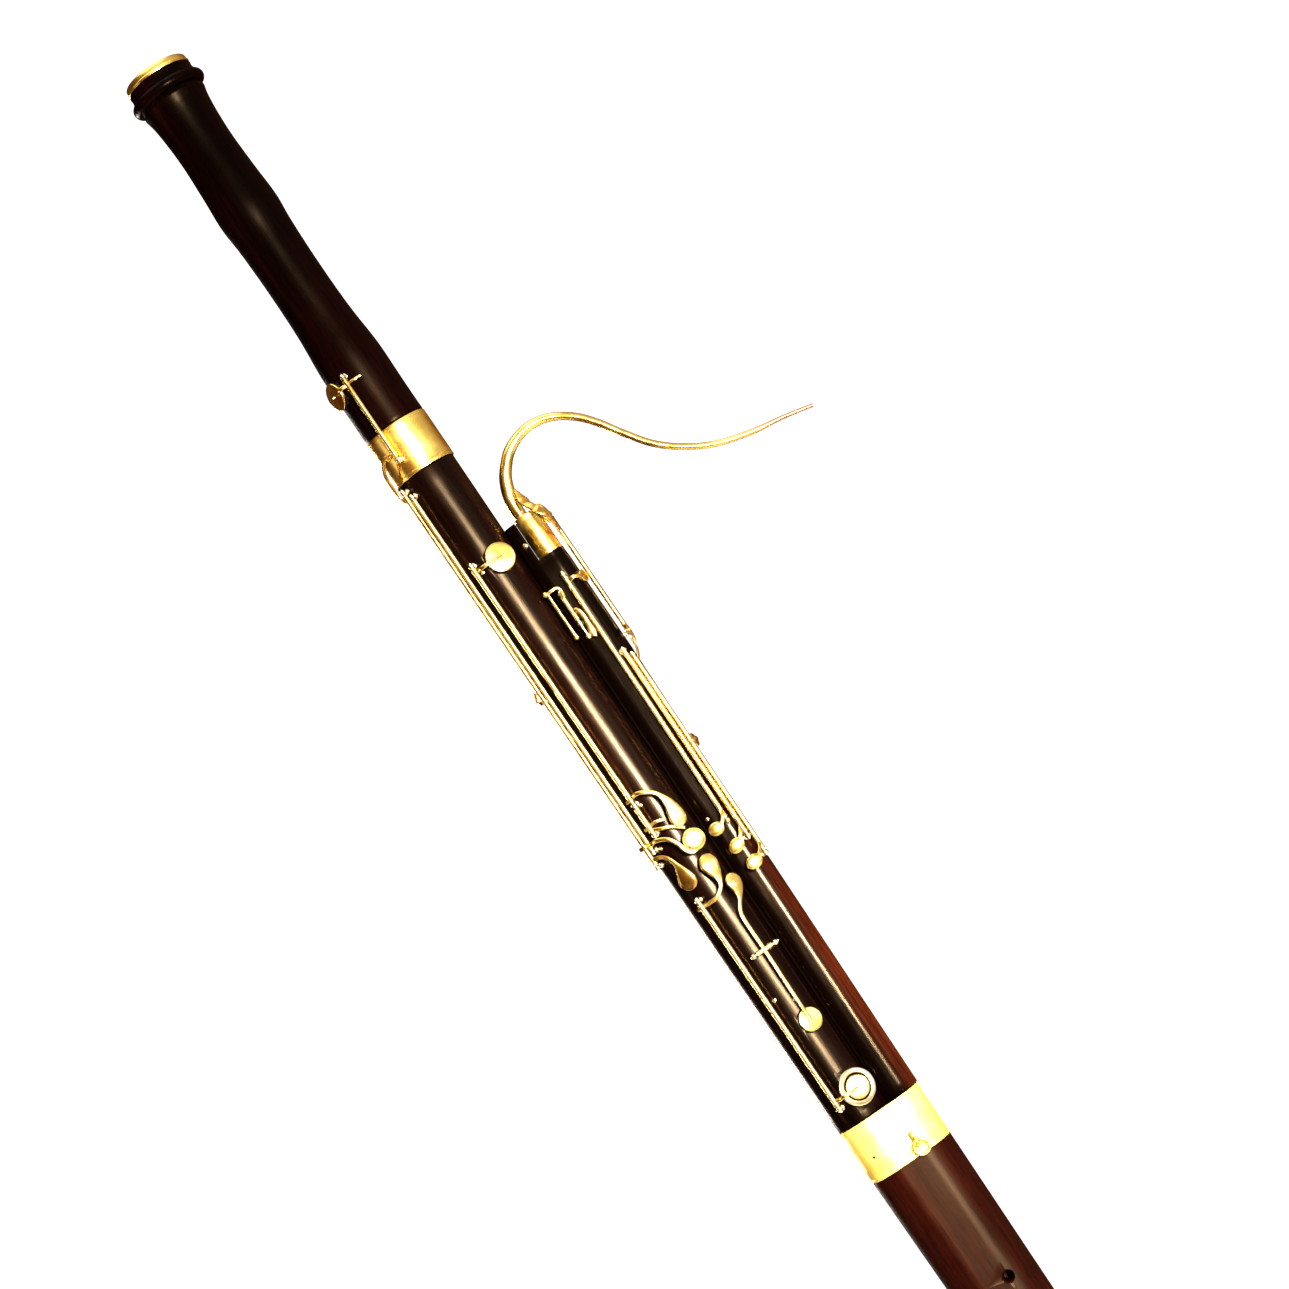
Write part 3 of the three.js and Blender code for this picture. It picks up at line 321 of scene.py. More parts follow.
def thread_material():
    """Waxed thread wound round a tenon: fine level turns."""
    paint = Paint("waxed_thread")
    place = paint.place()
    turns = paint.node("TexWave", {"Vector": place, "Scale": 320, "Distortion": 0.6, "Detail": 2},
                       bands_direction="Z").outputs["Fac"]
    color = paint.ramp(turns, (0.2, (0.2, 0.03, 0.02)), (0.8, (0.55, 0.13, 0.08)))
    return paint.set(Base_Color=color, Roughness=paint.span(paint.noise(place, 400), 0.3, 0.7, 0.55, 0.8),
                     Normal=paint.bump(turns, 0.8, 0.0003))


def cork_material():
    paint = Paint("cork")
    place = paint.place()
    cells = paint.node("TexVoronoi", {"Vector": place, "Scale": 900}).outputs["Distance"]
    cloud = paint.span(paint.noise(place, 500), 0.35, 0.7)
    return paint.set(Base_Color=paint.mix(cloud, (0.50, 0.31, 0.16), (0.68, 0.46, 0.27)),
                     Roughness=paint.span(cells, 0, 1, 0.75, 0.95), Normal=paint.bump(cells, 0.6, 0.0002))


LONG_WOOD = wood_material(
    "long_wood", (0.0012, 0.0004, 0.0003), (0.004, 0.001, 0.0007), (0.014, 0.0035, 0.002),
    shift=(0, 0, 0), warmth=(0.55, 1.0), gloss=0.12, roughness=(0.22, 0.32))
BELL_WOOD = wood_material(
    "bell_wood", (0.0012, 0.0003, 0.0003), (0.003, 0.0006, 0.0005), (0.01, 0.0015, 0.001),
    shift=(0.3, 0.1, 0.2), warmth=(0.5, 0.9), gloss=0.045)
# Painted shade: the wing's wood is painted its darkest tone above about 0.6 m and towards the long joint,
# keeping its reddish figure only on the lower right flank, where the key light falls.
WING_WOOD = wood_material(
    "wing_wood", (0.0012, 0.0004, 0.0003), (0.022, 0.004, 0.0015), (0.07, 0.014, 0.004),
    shift=(0.7, 0.4, 0.1), warmth=(0.35, 0.75), gloss=0.1, roughness=(0.15, 0.24),
    painted_shade=((0.018, 0.031), (0.67, 0.60)))
BOOT_WOOD = wood_material(
    "boot_wood", (0.005, 0.0008, 0.0004), (0.012, 0.0018, 0.0009), (0.03, 0.0045, 0.0022),
    shift=(0.1, 0.9, 0.5), warmth=(0.45, 0.85), gloss=0.1, roughness=(0.3, 0.42))
FERRULE_BRASS = metal_material(
    "ferrule_brass", (1.0, 0.84, 0.26), (0.98, 0.76, 0.18), (0.8, 0.5, 0.1), (0.34, 0.48), metallic=0.7)
# Painted shade: a darker, duller copy of the key brass for the keys along the instrument's edges that stand
# in shade.
SHADED_BRASS = metal_material("shaded_brass", (0.7, 0.47, 0.14), (0.5, 0.3, 0.08), (0.3, 0.15, 0.04), (0.2, 0.34))
KEY_BRASS = metal_material("key_brass", (0.98, 0.78, 0.30), (0.90, 0.62, 0.18), (0.55, 0.28, 0.07))
MOUNT_BRASS = metal_material(
    "mount_brass", (0.98, 0.76, 0.24), (0.92, 0.62, 0.15), (0.72, 0.42, 0.1), (0.2, 0.36))
BRIGHT_METAL = metal_material(
    "bright_metal", (0.96, 0.88, 0.62), (0.85, 0.72, 0.42), (0.5, 0.36, 0.18), (0.12, 0.25))
CROOK_BRASS = crook_material()
LEATHER = leather_material()
THREAD = thread_material()
CORK = cork_material()

# Wooden surfaces, as in the CAD


def lerp(a, b, t):
    return a + (b - a) * t


def clamp(value, low, high):
    return max(low, min(high, value))


def share(value, low, high):
    return clamp((value - low) / (high - low), 0, 1)


def smooth(value, low, high):
    t = share(value, low, high)
    return t * t * (3 - 2 * t)


def around(count):
    """Cosine and sine at equal steps round a circle."""
    return [(math.cos(a), math.sin(a)) for a in (2 * math.pi * i / count for i in range(count))]


def row_at(table, value, ease):
    """What a table says at a value of its first column, eased between the rows on either side."""
    for low, high in zip(table, table[1:]):
        if value <= high[0]:
            break
    t = ease(value, low[0], high[0])
    return tuple(lerp(a, b, t) for a, b in zip(low[1:], high[1:]))


def bass_section(z):
    if z > BELL_FERRULE_TOP + 1:
        return LONG_X, LONG_X, BELL_FOOT_R
    if z > BELL_Z - 1:
        return LONG_X, LONG_X, BELL_FERRULE_R
    return LONG_X, LONG_X, lerp(LONG_R_LOW, LONG_R_TOP, (z - JOINT_Z) / (BELL_Z - JOINT_Z))


WING_SECTIONS = [  # height, left centre, right centre, radius
    (JOINT_Z, 18, 20.1, 13.4), (628, 18, 22.8, 13.2), (806, 19, 26.8, 12.7), (WING_NECK_Z, 19, 28.6, 11),
    (890, 19, 29, 10.3), (WING_TOP, 19, SOCKET_X, 9.6)]


def wing_section(z):
    return row_at(WING_SECTIONS, z, share)


def boot_section(z):
    t = z / JOINT_Z
    radius = lerp(BOOT_R_LOW, BOOT_R_TOP, t)
    reach = lerp(BOOT_HALF_LOW, BOOT_HALF_TOP, t) - radius
    return -reach, reach, radius


class Wood:
    """Where a point at a height above a wooden surface lies, and which way it faces."""

    def __init__(self, section, side=-1):
        self.section, self.side = section, side

    def normal(self, x, z, lift=0.0):
        left, right, radius = self.section(z)
        nx = clamp((x - clamp(x, left, right)) / (radius + lift), -1, 1)
        return Vector((nx, self.side * math.sqrt(1 - nx * nx), 0))

    def at(self, x, z, lift):
        left, right, radius = self.section(z)
        return Vector((clamp(x, left, right), 0, z)) + self.normal(x, z, lift) * (radius + lift)

    def foot(self, point):
        left, right, radius = self.section(point.z)
        out = point - Vector((clamp(point.x, left, right), 0, point.z))
        return out.length - radius, out.normalized()


BASS = Wood(bass_section)
WING = Wood(wing_section)
BOOT_BACK = Wood(boot_section, -1)
BOOT_FRONT = Wood(boot_section, 1)

# Mesh building


class Shell:
    """Collects closed skins, in millimetres, that become one piece."""

    def __init__(self):
        self.verts, self.faces = [], []

    def skin(self, rings, closed=False):
        """Quads between equal rings of points; the two ends are capped unless the stack is closed."""
        base, count = len(self.verts), len(rings[0])
        for ring in rings:
            self.verts.extend(tuple(p) for p in ring)
        for j in range(len(rings) if closed else len(rings) - 1):
            a, b = base + j * count, base + (j + 1) % len(rings) * count
            for i in range(count):
                n = (i + 1) % count
                self.faces.append((a + i, a + n, b + n, b + i))
        if not closed:
            last = base + (len(rings) - 1) * count
            self.faces.append(tuple(base + i for i in reversed(range(count))))
            self.faces.append(tuple(last + i for i in range(count)))
        return self

    def turned(self, profile, base, axis, sides=24):
        """A lathe of [radius, height] pairs about an axis. It closes on itself unless it ends on the axis."""
        turn = UP.rotation_difference(Vector(axis))
        rings = []
        for r, h in profile:
            r = max(r, POLE_R)
            rings.append([turn @ Vector((r * c, r * s, h)) + Vector(base) for c, s in around(sides)])
        loops = profile[0] == profile[-1] and profile[0][0] > 0
        return self.skin(rings[:-1] if loops else rings, closed=loops)

    def piece(self, name, material, crease=40):
        mesh = bpy.data.meshes.new(name)
        mesh.from_pydata([Vector(v) * MM for v in self.verts], [], self.faces)
        mesh.validate()
        edit = bmesh.new()
        edit.from_mesh(mesh)
        bmesh.ops.remove_doubles(edit, verts=edit.verts, dist=1e-6)
        bmesh.ops.dissolve_degenerate(edit, edges=edit.edges, dist=1e-7)
        bmesh.ops.recalc_face_normals(edit, faces=edit.faces)
        edit.to_mesh(mesh)
        edit.free()
        made = bpy.data.objects.new(name, mesh)
        bpy.context.scene.collection.objects.link(made)
        mesh.materials.append(material)
        shade(made, crease)
        return made


def shade(piece, crease):
    """Smooth shading, with edges sharper than the crease angle kept sharp."""
    mesh = piece.data
    mesh.shade_smooth()
    edit = bmesh.new()
    edit.from_mesh(mesh)
    limit = math.radians(crease)
    for edge in edit.edges:
        edge.smooth = len(edge.link_faces) == 2 and edge.calc_face_angle(0) < limit
    edit.to_mesh(mesh)
    edit.free()


def arc(centre, radius, start, end, steps=6):
    """Profile points [radius, height] round a corner, by angle in degrees."""
    out = []
    for i in range(steps + 1):
        a = math.radians(lerp(start, end, i / steps))
        out.append((centre[0] + radius * math.cos(a), centre[1] + radius * math.sin(a)))
    return out


def curve_through(points, per_span):
    """A Catmull-Rom curve through points of any dimension."""
    ends = [[2 * a - b for a, b in zip(points[0], points[1])], *points,
            [2 * a - b for a, b in zip(points[-1], points[-2])]]
    out = []
    for i in range(1, len(ends) - 2):
        p0, p1, p2, p3 = ends[i - 1:i + 3]
        for t in (j / per_span for j in range(per_span)):
            out.append(tuple(
                0.5 * (2 * b + (c - a) * t + (2 * a - 5 * b + 4 * c - d) * t * t
                       + (3 * b - a - 3 * c + d) * t ** 3) for a, b, c, d in zip(p0, p1, p2, p3)))
    out.append(tuple(points[-1]))
    return out


def along_curve(points, shares):
    """The point and tangent at each share of the length of the curve through 3-D points, and its length."""
    fine = [Vector(p) for p in curve_through([tuple(p) for p in points], 24)]
    lengths = [0.0]
    for a, b in zip(fine, fine[1:]):
        lengths.append(lengths[-1] + (b - a).length)
    out = []
    for target in (part * lengths[-1] for part in shares):
        k = 0
        while k < len(lengths) - 2 and lengths[k + 1] < target:
            k += 1
        step = max(lengths[k + 1] - lengths[k], 1e-9)
        point = fine[k].lerp(fine[k + 1], (target - lengths[k]) / step)
        out.append((point, (fine[k + 1] - fine[k]).normalized()))
    return out, lengths[-1]


def rod(radius, low, high):
    """The profile of a solid rod."""
    return [(0, low), (radius, low), (radius, high), (0, high)]


# Keywork


def lever_half_width(to_end, spec):
    head, tail, width = spec.get("head", 0), spec.get("tail", 10), spec.get("width", 3.0)
    leaf = spec.get("leaf", 0)
    if not head:
        half = width / 2
        if spec.get("point"):
            half *= lerp(0.3, 1, smooth(to_end, 0, spec["point"]))
        return half
    if leaf and to_end < leaf:
        return lerp(0.5, head, (to_end / leaf) ** 0.8)
    if not leaf and to_end < head:
        return max(0.12, math.sqrt(max(to_end * (2 * head - to_end), 0)))
    start = leaf or head
    return lerp(head, width / 2, smooth(to_end, start, start + tail))


def add_touch(shell, wood, spec):
    """A domed oval touch on the end of a lever, turned in its plane by `tilt` and faced by `lean`."""
    x, z, lift = spec["at"]
    facing = wood.normal(x, z, lift).lerp(FORWARD, spec.get("lean", 0)).normalized()
    turn = Quaternion(facing, math.radians(spec.get("tilt", 0)))
    right = turn @ UP.cross(facing)
    up = facing.cross(right)
    across, along = spec["radii"]
    base = wood.at(x, z, lift)
    turns = [math.pi * i / 10 for i in range(11)]
    edge = [(lerp(TOUCH_FLAT, 1, math.sin(a)), 0.5 - 0.5 * math.cos(a)) for a in turns]
    rises = [math.radians(8 + 74 * i / 12) for i in range(13)]
    dome = [(TOUCH_FLAT * math.cos(a), 1 + 1.5 * math.sin(a)) for a in rises]
    oval = [right * (across * c) + up * (along * s) for c, s in around(56)]
    shell.skin([[base + facing * height + p * r for p in oval] for r, height in [(0.3, 0), *edge, *dome]])


def add_lever(shell, wood, spec):
    """A forged lever along its path: rounded section, swelling into a domed touch at its head."""
    head, thick = spec.get("head", 0), spec.get("thick", 1.8)
    count = max(24, (9 if head else 7) * len(spec["path"]))
    shares = [1 - (1 - i / count) ** 1.9 if head else i / count for i in range(count + 1)]
    points, total = along_curve([wood.at(*p) for p in spec["path"]], shares)
    rings = []
    for part, (point, along) in zip(shares, points):
        out = wood.foot(point)[1]
        across = out.cross(along).normalized()
        up = along.cross(across).normalized()
        to_end = total * (1 - part)
        half = lever_half_width(to_end, spec)
        swell = smooth(half, spec.get("width", 3.0) / 2, max(head, 2)) if head else 0
        rim = clamp(to_end / max(head, 1), 0, 1) ** 0.5 if head else 1
        top = lerp(thick / 2, thick * 0.5 + 0.16 * head, swell) * lerp(1, rim, swell)
        low = lerp(thick / 2, thick * 0.35, swell) * lerp(1, rim, swell)
        ring = []
        for c, s in around(20):
            x = math.copysign(abs(c) ** 0.75, c) * half
            y = math.copysign(abs(s) ** lerp(0.75, 0.9, swell), s) * (top if s > 0 else low)
            ring.append(point + across * x + up * y)
        rings.append(ring)
    shell.skin(rings)


def pad_place(key, swing=0):
    """Where a key's pad seats on the wood, and where its cup's rim lies after a swing, in degrees."""
    x, z, radius = key["cup"]
    out = key["wood"].normal(x, z)
    left, right, wood_r = key["wood"].section(z)
    seat = math.sqrt(wood_r ** 2 - (radius - 0.5) ** 2)
    centre = Vector((clamp(x, left, right), 0, z))
    base, facing = centre + out * seat + out * GAP, out
    if swing:
        axle = axle_points(key)
        turn = Quaternion((axle[-1] - axle[0]).normalized(), math.radians(swing))
        base, facing = turn @ (base - axle[0]) + axle[0], turn @ facing
    return {"out": out, "centre": centre, "seat": seat, "base": base, "facing": facing}


def cup_profile(r):
    """A pad cup: thin turned wall with a rounded lip, soft shoulder and a low dome."""
    ceiling, inner, top = PAD_THICK + GAP, r - CUP_WALL, PAD_THICK + GAP + 1.1
    shoulder = arc((r - 0.9, ceiling), 0.9, 0, 62, 5)
    dome = [(lerp(shoulder[-1][0], 0, t), lerp(shoulder[-1][1], top, math.sin(t * math.pi / 2)))
            for t in (i / 8 for i in range(1, 9))]
    lip = arc((r - CUP_WALL / 2, 0.8), CUP_WALL / 2, 180, 360, 5)
    return [(0, ceiling), (inner - 0.4, ceiling), (inner, ceiling - 0.4), *lip, *shoulder, *dome]


def pad_profile(r):
    """A leather pad: rounded edge, slightly dished by the tone hole's rim."""
    return [(0, 0.12), (r * 0.35, 0.12), (r * 0.42, 0.25), (r * 0.5, 0.02),
            *arc((r - 0.7, 0.7), 0.7, 270, 360, 5), *arc((r - 0.5, PAD_THICK - 0.5), 0.5, 0, 90, 4),
            (0, PAD_THICK)]


def pillar_profile(height):
    """A ball pillar: foot flange, waisted stem and ball head."""
    neck = height - BALL_R * 0.86
    return [(0, 0), (2.25, 0), (2.35, 0.25), (2.25, 0.6), (1.5, 0.9), (1.12, 1.4),
            (1.0, lerp(1.4, neck, 0.5)), (1.12, neck - 0.3), *arc((0, height), BALL_R, -58, 90, 12)]


def axle_points(key):
    return [key["wood"].at(*p) for p in key["pillars"]]


def add_axle(shell, wood, points):
    along = (points[-1] - points[0]).normalized()
    length = (points[-1] - points[0]).length
    shell.turned(rod(AXLE_R, 0, length), points[0], along, 16)
    for point in points:
        height, normal = wood.foot(point)
        base = point - normal * (height - GAP)
        shell.turned(pillar_profile(height - GAP), base, normal, 24)
    for point, way in ((points[0], -along), (points[-1], along)):
        head = point + way * (BALL_R - 0.35)
        shell.turned([(0, 0), (1.05, 0), (1.05, 0.42), (0.9, 0.55), (0.3, 0.55), (0.28, 0.3), (0, 0.3)],
                     head, way, 16)


def add_tube(shell, start, end):
    """A hinge tube with a small collar at each end."""
    along = (end - start).normalized()
    length = (end - start).length
    collar = 1.2 if length > 12 else 0.7
    profile = [
        (TUBE_BORE_R, 0), (TUBE_R + 0.1, 0), (TUBE_R + 0.3, 0.2), (TUBE_R + 0.3, collar - 0.2),
        (TUBE_R, collar), (TUBE_R, length - collar), (TUBE_R + 0.3, length - collar + 0.2),
        (TUBE_R + 0.3, length - 0.2), (TUBE_R + 0.1, length), (TUBE_BORE_R, length), (TUBE_BORE_R, 0)]
    shell.turned(profile, start, along, 24)


def saddle_ring(z, left, right, front):
    """One level of the block that carries the crook key's leaf: a rectangle with eased corners."""
    middle, half = (left + right) / 2, (right - left) / 2
    outline = [(-1, 0.7), (-0.75, 0), (0.75, 0), (1, 0.7), (1, 1.5), (0.75, 2.2), (-0.75, 2.2), (-1, 1.5)]
    return [Vector((middle + a * half, front + b, z)) for a, b in outline]


def build_key(key):
    name, wood, axle = key["name"], key["wood"], axle_points(key)
    along = (axle[-1] - axle[0]).normalized()
    reach = (axle[-1] - axle[0]).length
    start, end = key.get("tube", (END, -END))
    shell = Shell()
    add_tube(shell, axle[0] + along * start, axle[0] + along * (end if end > 0 else reach + end))
    for spec in key["levers"]:
        add_lever(shell, wood, spec)
    if "touch" in key:
        add_touch(shell, wood, key["touch"])
    if "saddle" in key:
        shell.skin([saddle_ring(*row) for row in key["saddle"]])
    for x, z, lift, radius in key.get("knobs", []):
        ball = arc((0, 0), radius, -88, 88, 14)
        shell.turned([(0, -radius), *ball, (0, radius)], wood.at(x, z, lift), wood.normal(x, z), 24)
    if "cup" in key:
        place = pad_place(key, key.get("open", 0))
        r = key["cup"][2]
        shell.turned(cup_profile(r), place["base"], place["facing"], 48)
        pad = Shell().turned(pad_profile(r - 1.2), place["base"], place["facing"], 40)
        finish_piece(pad.piece(name + "_leather_pad", LEATHER), name, "pad_leather", name + "_pad")
    finish_piece(shell.piece(name + "_brass", key.get("metal", KEY_BRASS)), name, "brass", name)
    if not key.get("shares_axle"):
        posts = Shell()
        add_axle(posts, wood, axle)
        finish_piece(posts.piece(name + "_pillars", BRIGHT_METAL), "instrument", "steel", name + "_axle")


def finish_piece(piece, body, slot, *nodes):
    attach(piece, body)
    if nodes:
        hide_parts(*nodes)
    return piece


def lever(*path, **shape):
    """A lever through (x, height, lift) points over the wood, with its width and head."""
    return {"path": path, **shape}


KEYS = {}


def add_key(name, wood, pillars, *levers, **parts):
    KEYS[name] = {"name": name, "wood": wood, "pillars": pillars, "levers": levers, **parts}


add_key("bell_key", BASS, [(-21.8, 1076, LIFT), (-21.8, 1005, LIFT)],
    lever((-21.8, 1069.5, LIFT), (-28, 1069.5, 7.2), (-33, 1069.5, 6.2), (-35.6, 1069.5, 3.6), point=7),
    lever((-21.8, 1070, LIFT), (-16, 1070, 4), (-10.5, 1070, 2.5), width=1.8, thick=1.2),
    lever((-21.8, 1010, LIFT), (-25, 1010, 5), (-28.6, 1010, LIFT), width=4),
    cup=(-32.6, 1069.5, 10.5), open=-5)
add_key("low_b_flat_key", BASS, [(-32.6, 985, 4.6), (-32.2, 667, 4.8)],
    lever((-32.6, 976, 4.6), (-36.2, 984, 6.2), (-36.2, 1000, 9), (-31, 1010, 9.3), (-27.2, 1011, 8.5)),
    lever((-32.2, 673, 4.7), (-28.2, 672.4, 7.4), (-23.8, 669.6, 8.4), (-21.1, 664.8, 8.4),
          (-19.8, 658.4, 8.4), (-19.7, 650.9, 8), (-20.3, 640.6, 7.4), head=6.8, tail=17),
    # painted shade: the darker brass copy for this edge key
    metal=SHADED_BRASS)
add_key("low_b_key", BASS, [(-21.7, 913.6, 4.4), (-21.3, 712.1, 4.4), (-21.2, 687, 4.4)],
    lever((-21.7, 908.5, 4.4), (-15, 908.5, 7.4), (-7, 908.5, 6.6), (0.3, 908.5, 4.4), point=9),
    lever((-21.3, 717.1, 4.4), (-17, 717.4, 7), (-12.6, 716.4, 8.4), (-5.2, 711.6, 9.4), (-2, 706.3, 9.4),
          (-0.4, 699.9, 9), (-0.4, 692.5, 8.6), (-1.3, 681.3, 8), head=6.4, tail=24),
    lever((-21.3, 716, 4.4), (-25.2, 716, 4.6), width=2.2, thick=1.4),
    tube=(END, 201.5 - END), cup=(-1.6, 908.5, 11), open=7.3)
add_key("b_link_lever", BASS, [(-21.3, 712.1, 4.4), (-21.2, 687, 4.4)],
    lever((-21.3, 693.5, 4.4), (-15.5, 694, 5.8), (-9.5, 692, 5.6), width=2.4, thick=1.5),
    lever((-21.3, 691, 4.4), (-15, 688, 5.6), (-8, 685, 5.3), (-0.8, 679.6, 5), width=2.6, thick=1.5),
    lever((-21.3, 693, 4.4), (-25.2, 693, 4.6), width=2.2, thick=1.4),
    shares_axle=True)
add_key("low_c_key", BASS, [(-28.9, 978.5, 4.6), (-28.6, 678, 4.6)],
    lever((-28.9, 807, 4.6), (-32.6, 807, 8.9), (-36.4, 808, 8.2), (-37.2, 811.5, 4.4),
          (-35.9, 816.8, 2.8)),
    lever((-28.6, 684, 4.6), (-26.6, 682.8, 7.6), (-22.2, 682.6, 9), (-15.2, 679.1, 10), (-10.9, 672.2, 10),
          (-9.1, 665.8, 9.8), (-5.6, 662, 9.7), (-1.2, 662.4, 10.1)),
    lever((-28.6, 683.6, 4.6), (-31.4, 683.6, 8.8), (-35.4, 683.6, 8.6)),
    touch=dict(at=(0, 669, 10.4), radii=(8.1, 8.1), lean=0.6), cup=(-33.3, 816.8, 8.6))
add_key("low_d_key", BASS, [(-22.1, 632, 4.4), (-21.9, 458.6, 4.6)],
    lever((-22.1, 627, 4.4), (-14.6, 626.5, 7), (-9.3, 627, 8.2), (-2.9, 631.8, 8.6), (-0.8, 639.2, 8.7),
          (-1.1, 649.9, 8.6), (-2.2, 656.5, 8.2), head=6.9, tail=18),
    lever((-22.1, 626.6, 4.4), (-26, 626.6, 4.6), width=2.2, thick=1.4),
    lever((-21.9, 464.5, 4.6), (-15, 464.5, 8.4), (-8.5, 464.5, 7.8), (-1.2, 464.5, 5.4), point=9),
    cup=(-3.2, 464.5, 8.6), open=7.8)
add_key("low_e_flat_key", BASS, [(-11.6, 578.6, 5), (6.4, 578.6, 9.5)],
    lever((-3.6, 520, 2.6), (-3.4, 545, 4.8), (-2.7, 578.6, 6.4), (-2.6, 603, 7), (-0.8, 611, 7.8),
          (3.6, 618, 8.8), (6.2, 626, 9.2), (6.1, 635.9, 9), head=6.2, tail=15),
    cup=(-3.7, 521, 8.8))
add_key("wing_a_key", WING, [(28.3, 874.4, 4.2), (26.4, 667, 4.2)],
    lever((26.6, 677, 4.2), (25.6, 672, 6.8), (22.3, 667.8, 7.6), (18.5, 666.4, 7.8)),
    lever((28.3, 867.6, 4.2), (33.4, 868.6, 6.8), (37.7, 867, 5.4), (40.1, 866.5, 2.9), point=5),
    touch=dict(at=(16.8, 666.2, 7.8), radii=(5.8, 4.9)), cup=(38.2, 866.5, 4.8))
add_key("wing_c_key", WING, [(33.4, 806, 4.2), (32.3, 650.5, 4.2)],
    lever((32.3, 660, 4.2), (29.8, 655.8, 7), (27.4, 652.5, 7.8), (24, 649.8, 8)),
    lever((32.9, 727, 4.2), (36.2, 727, 9.1), (40.4, 727, 8), (41, 727, 3.2)),
    touch=dict(at=(21.9, 648.8, 8), radii=(6.3, 5), tilt=20), cup=(37.5, 727, 5.3))
add_key("crook_thumb_lever", WING, [(37.1, 800, 3.8), (35.9, 634, 4)],
    lever((36, 643.5, 4), (34.8, 639.2, 6.6), (31.6, 635.4, 8), (28, 633.4, 8.2)),
    lever((37.1, 794, 3.8), (40.2, 798.5, 3.8), (42.2, 804, 3.4), (42.7, 811, 3), width=2.4, thick=1.5),
    touch=dict(at=(25.8, 632.8, 8.2), radii=(6.3, 5.1), tilt=10))
add_key("crook_key", WING, [(44, 917, 4.8), (44, 816, 4.4)],
    lever((44, 822, 4.4), (44.7, 818, 8.2), (44.7, 811.5, 7.2), (43.1, 806.5, 5.4), width=2.6, thick=1.6),
    lever((44, 904.5, 4.8), (44.4, 910, 8.4), (42.6, 917, 9.8), (39.6, 922, 8.4), (36.8, 926, 6), head=4.6,
          tail=13, width=4),
    lever((40, 921, 8.8), (36.8, 927, 5.8), (34.6, 932, 2), (33.7, 938, -0.6), (33.4, 944.5, -1.6),
          head=4.2, leaf=11, tail=5, width=6, thick=2),
    # painted shade: the darker brass copy for this edge key
    metal=SHADED_BRASS,
    saddle=[(910, 40.8, 44.6, -12.4), (913, 39.2, 44.8, -14.2), (918, 36.8, 44.4, -15.2),
            (922.5, 35.2, 43.6, -15.4), (925.6, 34.4, 42.4, -14.8)])
add_key("wing_c_sharp_key", WING, [(19, 864, 4.2), (18.8, 839, 4.2), (18.8, 828.6, 4.2)],
    lever((19, 858.5, 4.2), (20.6, 864, 8.8), (19.5, 868, 10.2), (15.5, 868.4, 11.4), (11.3, 868.2, 11.6),
          width=2.2, thick=1.6),
    lever((11.3, 869.2, 11.6), (11.3, 852, 11.6), (11.3, 831.5, 11.2), width=2, thick=1.6),
    lever((18.9, 846, 4.2), (21.4, 848.6, 6), (23.9, 843, 6.2), (22.6, 825.5, 5.8), head=2.6, tail=12),
    tube=(END, 24.9 - END), knobs=[(9.9, 868.6, 11.4, 2.2), (11.3, 831.5, 11.2, 1.9)])
add_key("boot_f_key", BOOT_FRONT, [(-24, 236, LIFT), (-23.4, 90, LIFT)],
    lever((-24, 229, LIFT), (-17, 231, 7.6), (-9, 231, 8.4), (-1, 229, 8), head=7.4, tail=7),
    lever((-23.4, 99, LIFT), (-17, 99, 7.2), (-8, 99, 4.1), point=7),
    cup=(-8.5, 99, 11), open=-8.9)
add_key("boot_a_flat_key", BOOT_FRONT, [(4.5, 172, 5), (20, 172, 5.6)],
    lever((13.5, 122, 2.4), (13, 148, 4.4), (12, 172, 5.4), (11, 186, 6.4), (8.5, 197, 7.6),
          (6.5, 208, 7.4), head=6.4, tail=14),
    cup=(13.5, 123, 8.8))
add_key("boot_f_sharp_key", BOOT_BACK, [(-12, 196, 5.4), (4, 196, 5)],
    lever((-6, 143, 2.4), (-5, 170, 4.4), (-4, 196, 5.2), (-3, 212, 6.4), (0, 224, 7.6), (1, 236, 7.4),
          head=6.4, tail=14),
    cup=(-6, 144, 8.8))

# Wooden joints


def fill_long(profile):
    """Adds points along long straight stretches so that cuts shade cleanly."""
    out = [profile[0]]
    for a, b in zip(profile, profile[1:]):
        n = max(1, int(abs(b[1] - a[1]) / LONGEST_STRETCH))
        out.extend((lerp(a[0], b[0], i / n), lerp(a[1], b[1], i / n)) for i in range(1, n + 1))
    return out


def cut_from(piece, tools, operation="DIFFERENCE"):
    """Cuts each tool, a Shell, from the piece with an exact boolean, and removes the tool."""
    for tool in tools:
        cutter = tool.piece("cutter", piece.data.materials[0])
        modifier = piece.modifiers.new("cut", "BOOLEAN")
        modifier.operation = operation
        modifier.solver = "EXACT"
        modifier.object = cutter
        cut = piece.evaluated_get(bpy.context.evaluated_depsgraph_get())
        mesh = bpy.data.meshes.new_from_object(cut)
        piece.modifiers.clear()
        old = piece.data
        piece.data = mesh
        mesh.name = piece.name
        bpy.data.meshes.remove(old)
        bpy.data.objects.remove(cutter)
    shade(piece, 32)
    return piece


def seat_tool(key):
    """The flat seat with its softened rim and the tone hole under a pad."""
    place, cup_r = pad_place(key), key["cup"][2]
    r, hole, depth = cup_r + 0.8, cup_r * 0.42, place["seat"]
    profile = [(0, 3), (hole, 3), (hole, depth - 0.5), (hole + 0.5, depth), (r, depth), (r, depth + 12),
               (0, depth + 12)]
    return Shell().turned(profile, place["centre"], place["out"], 48)


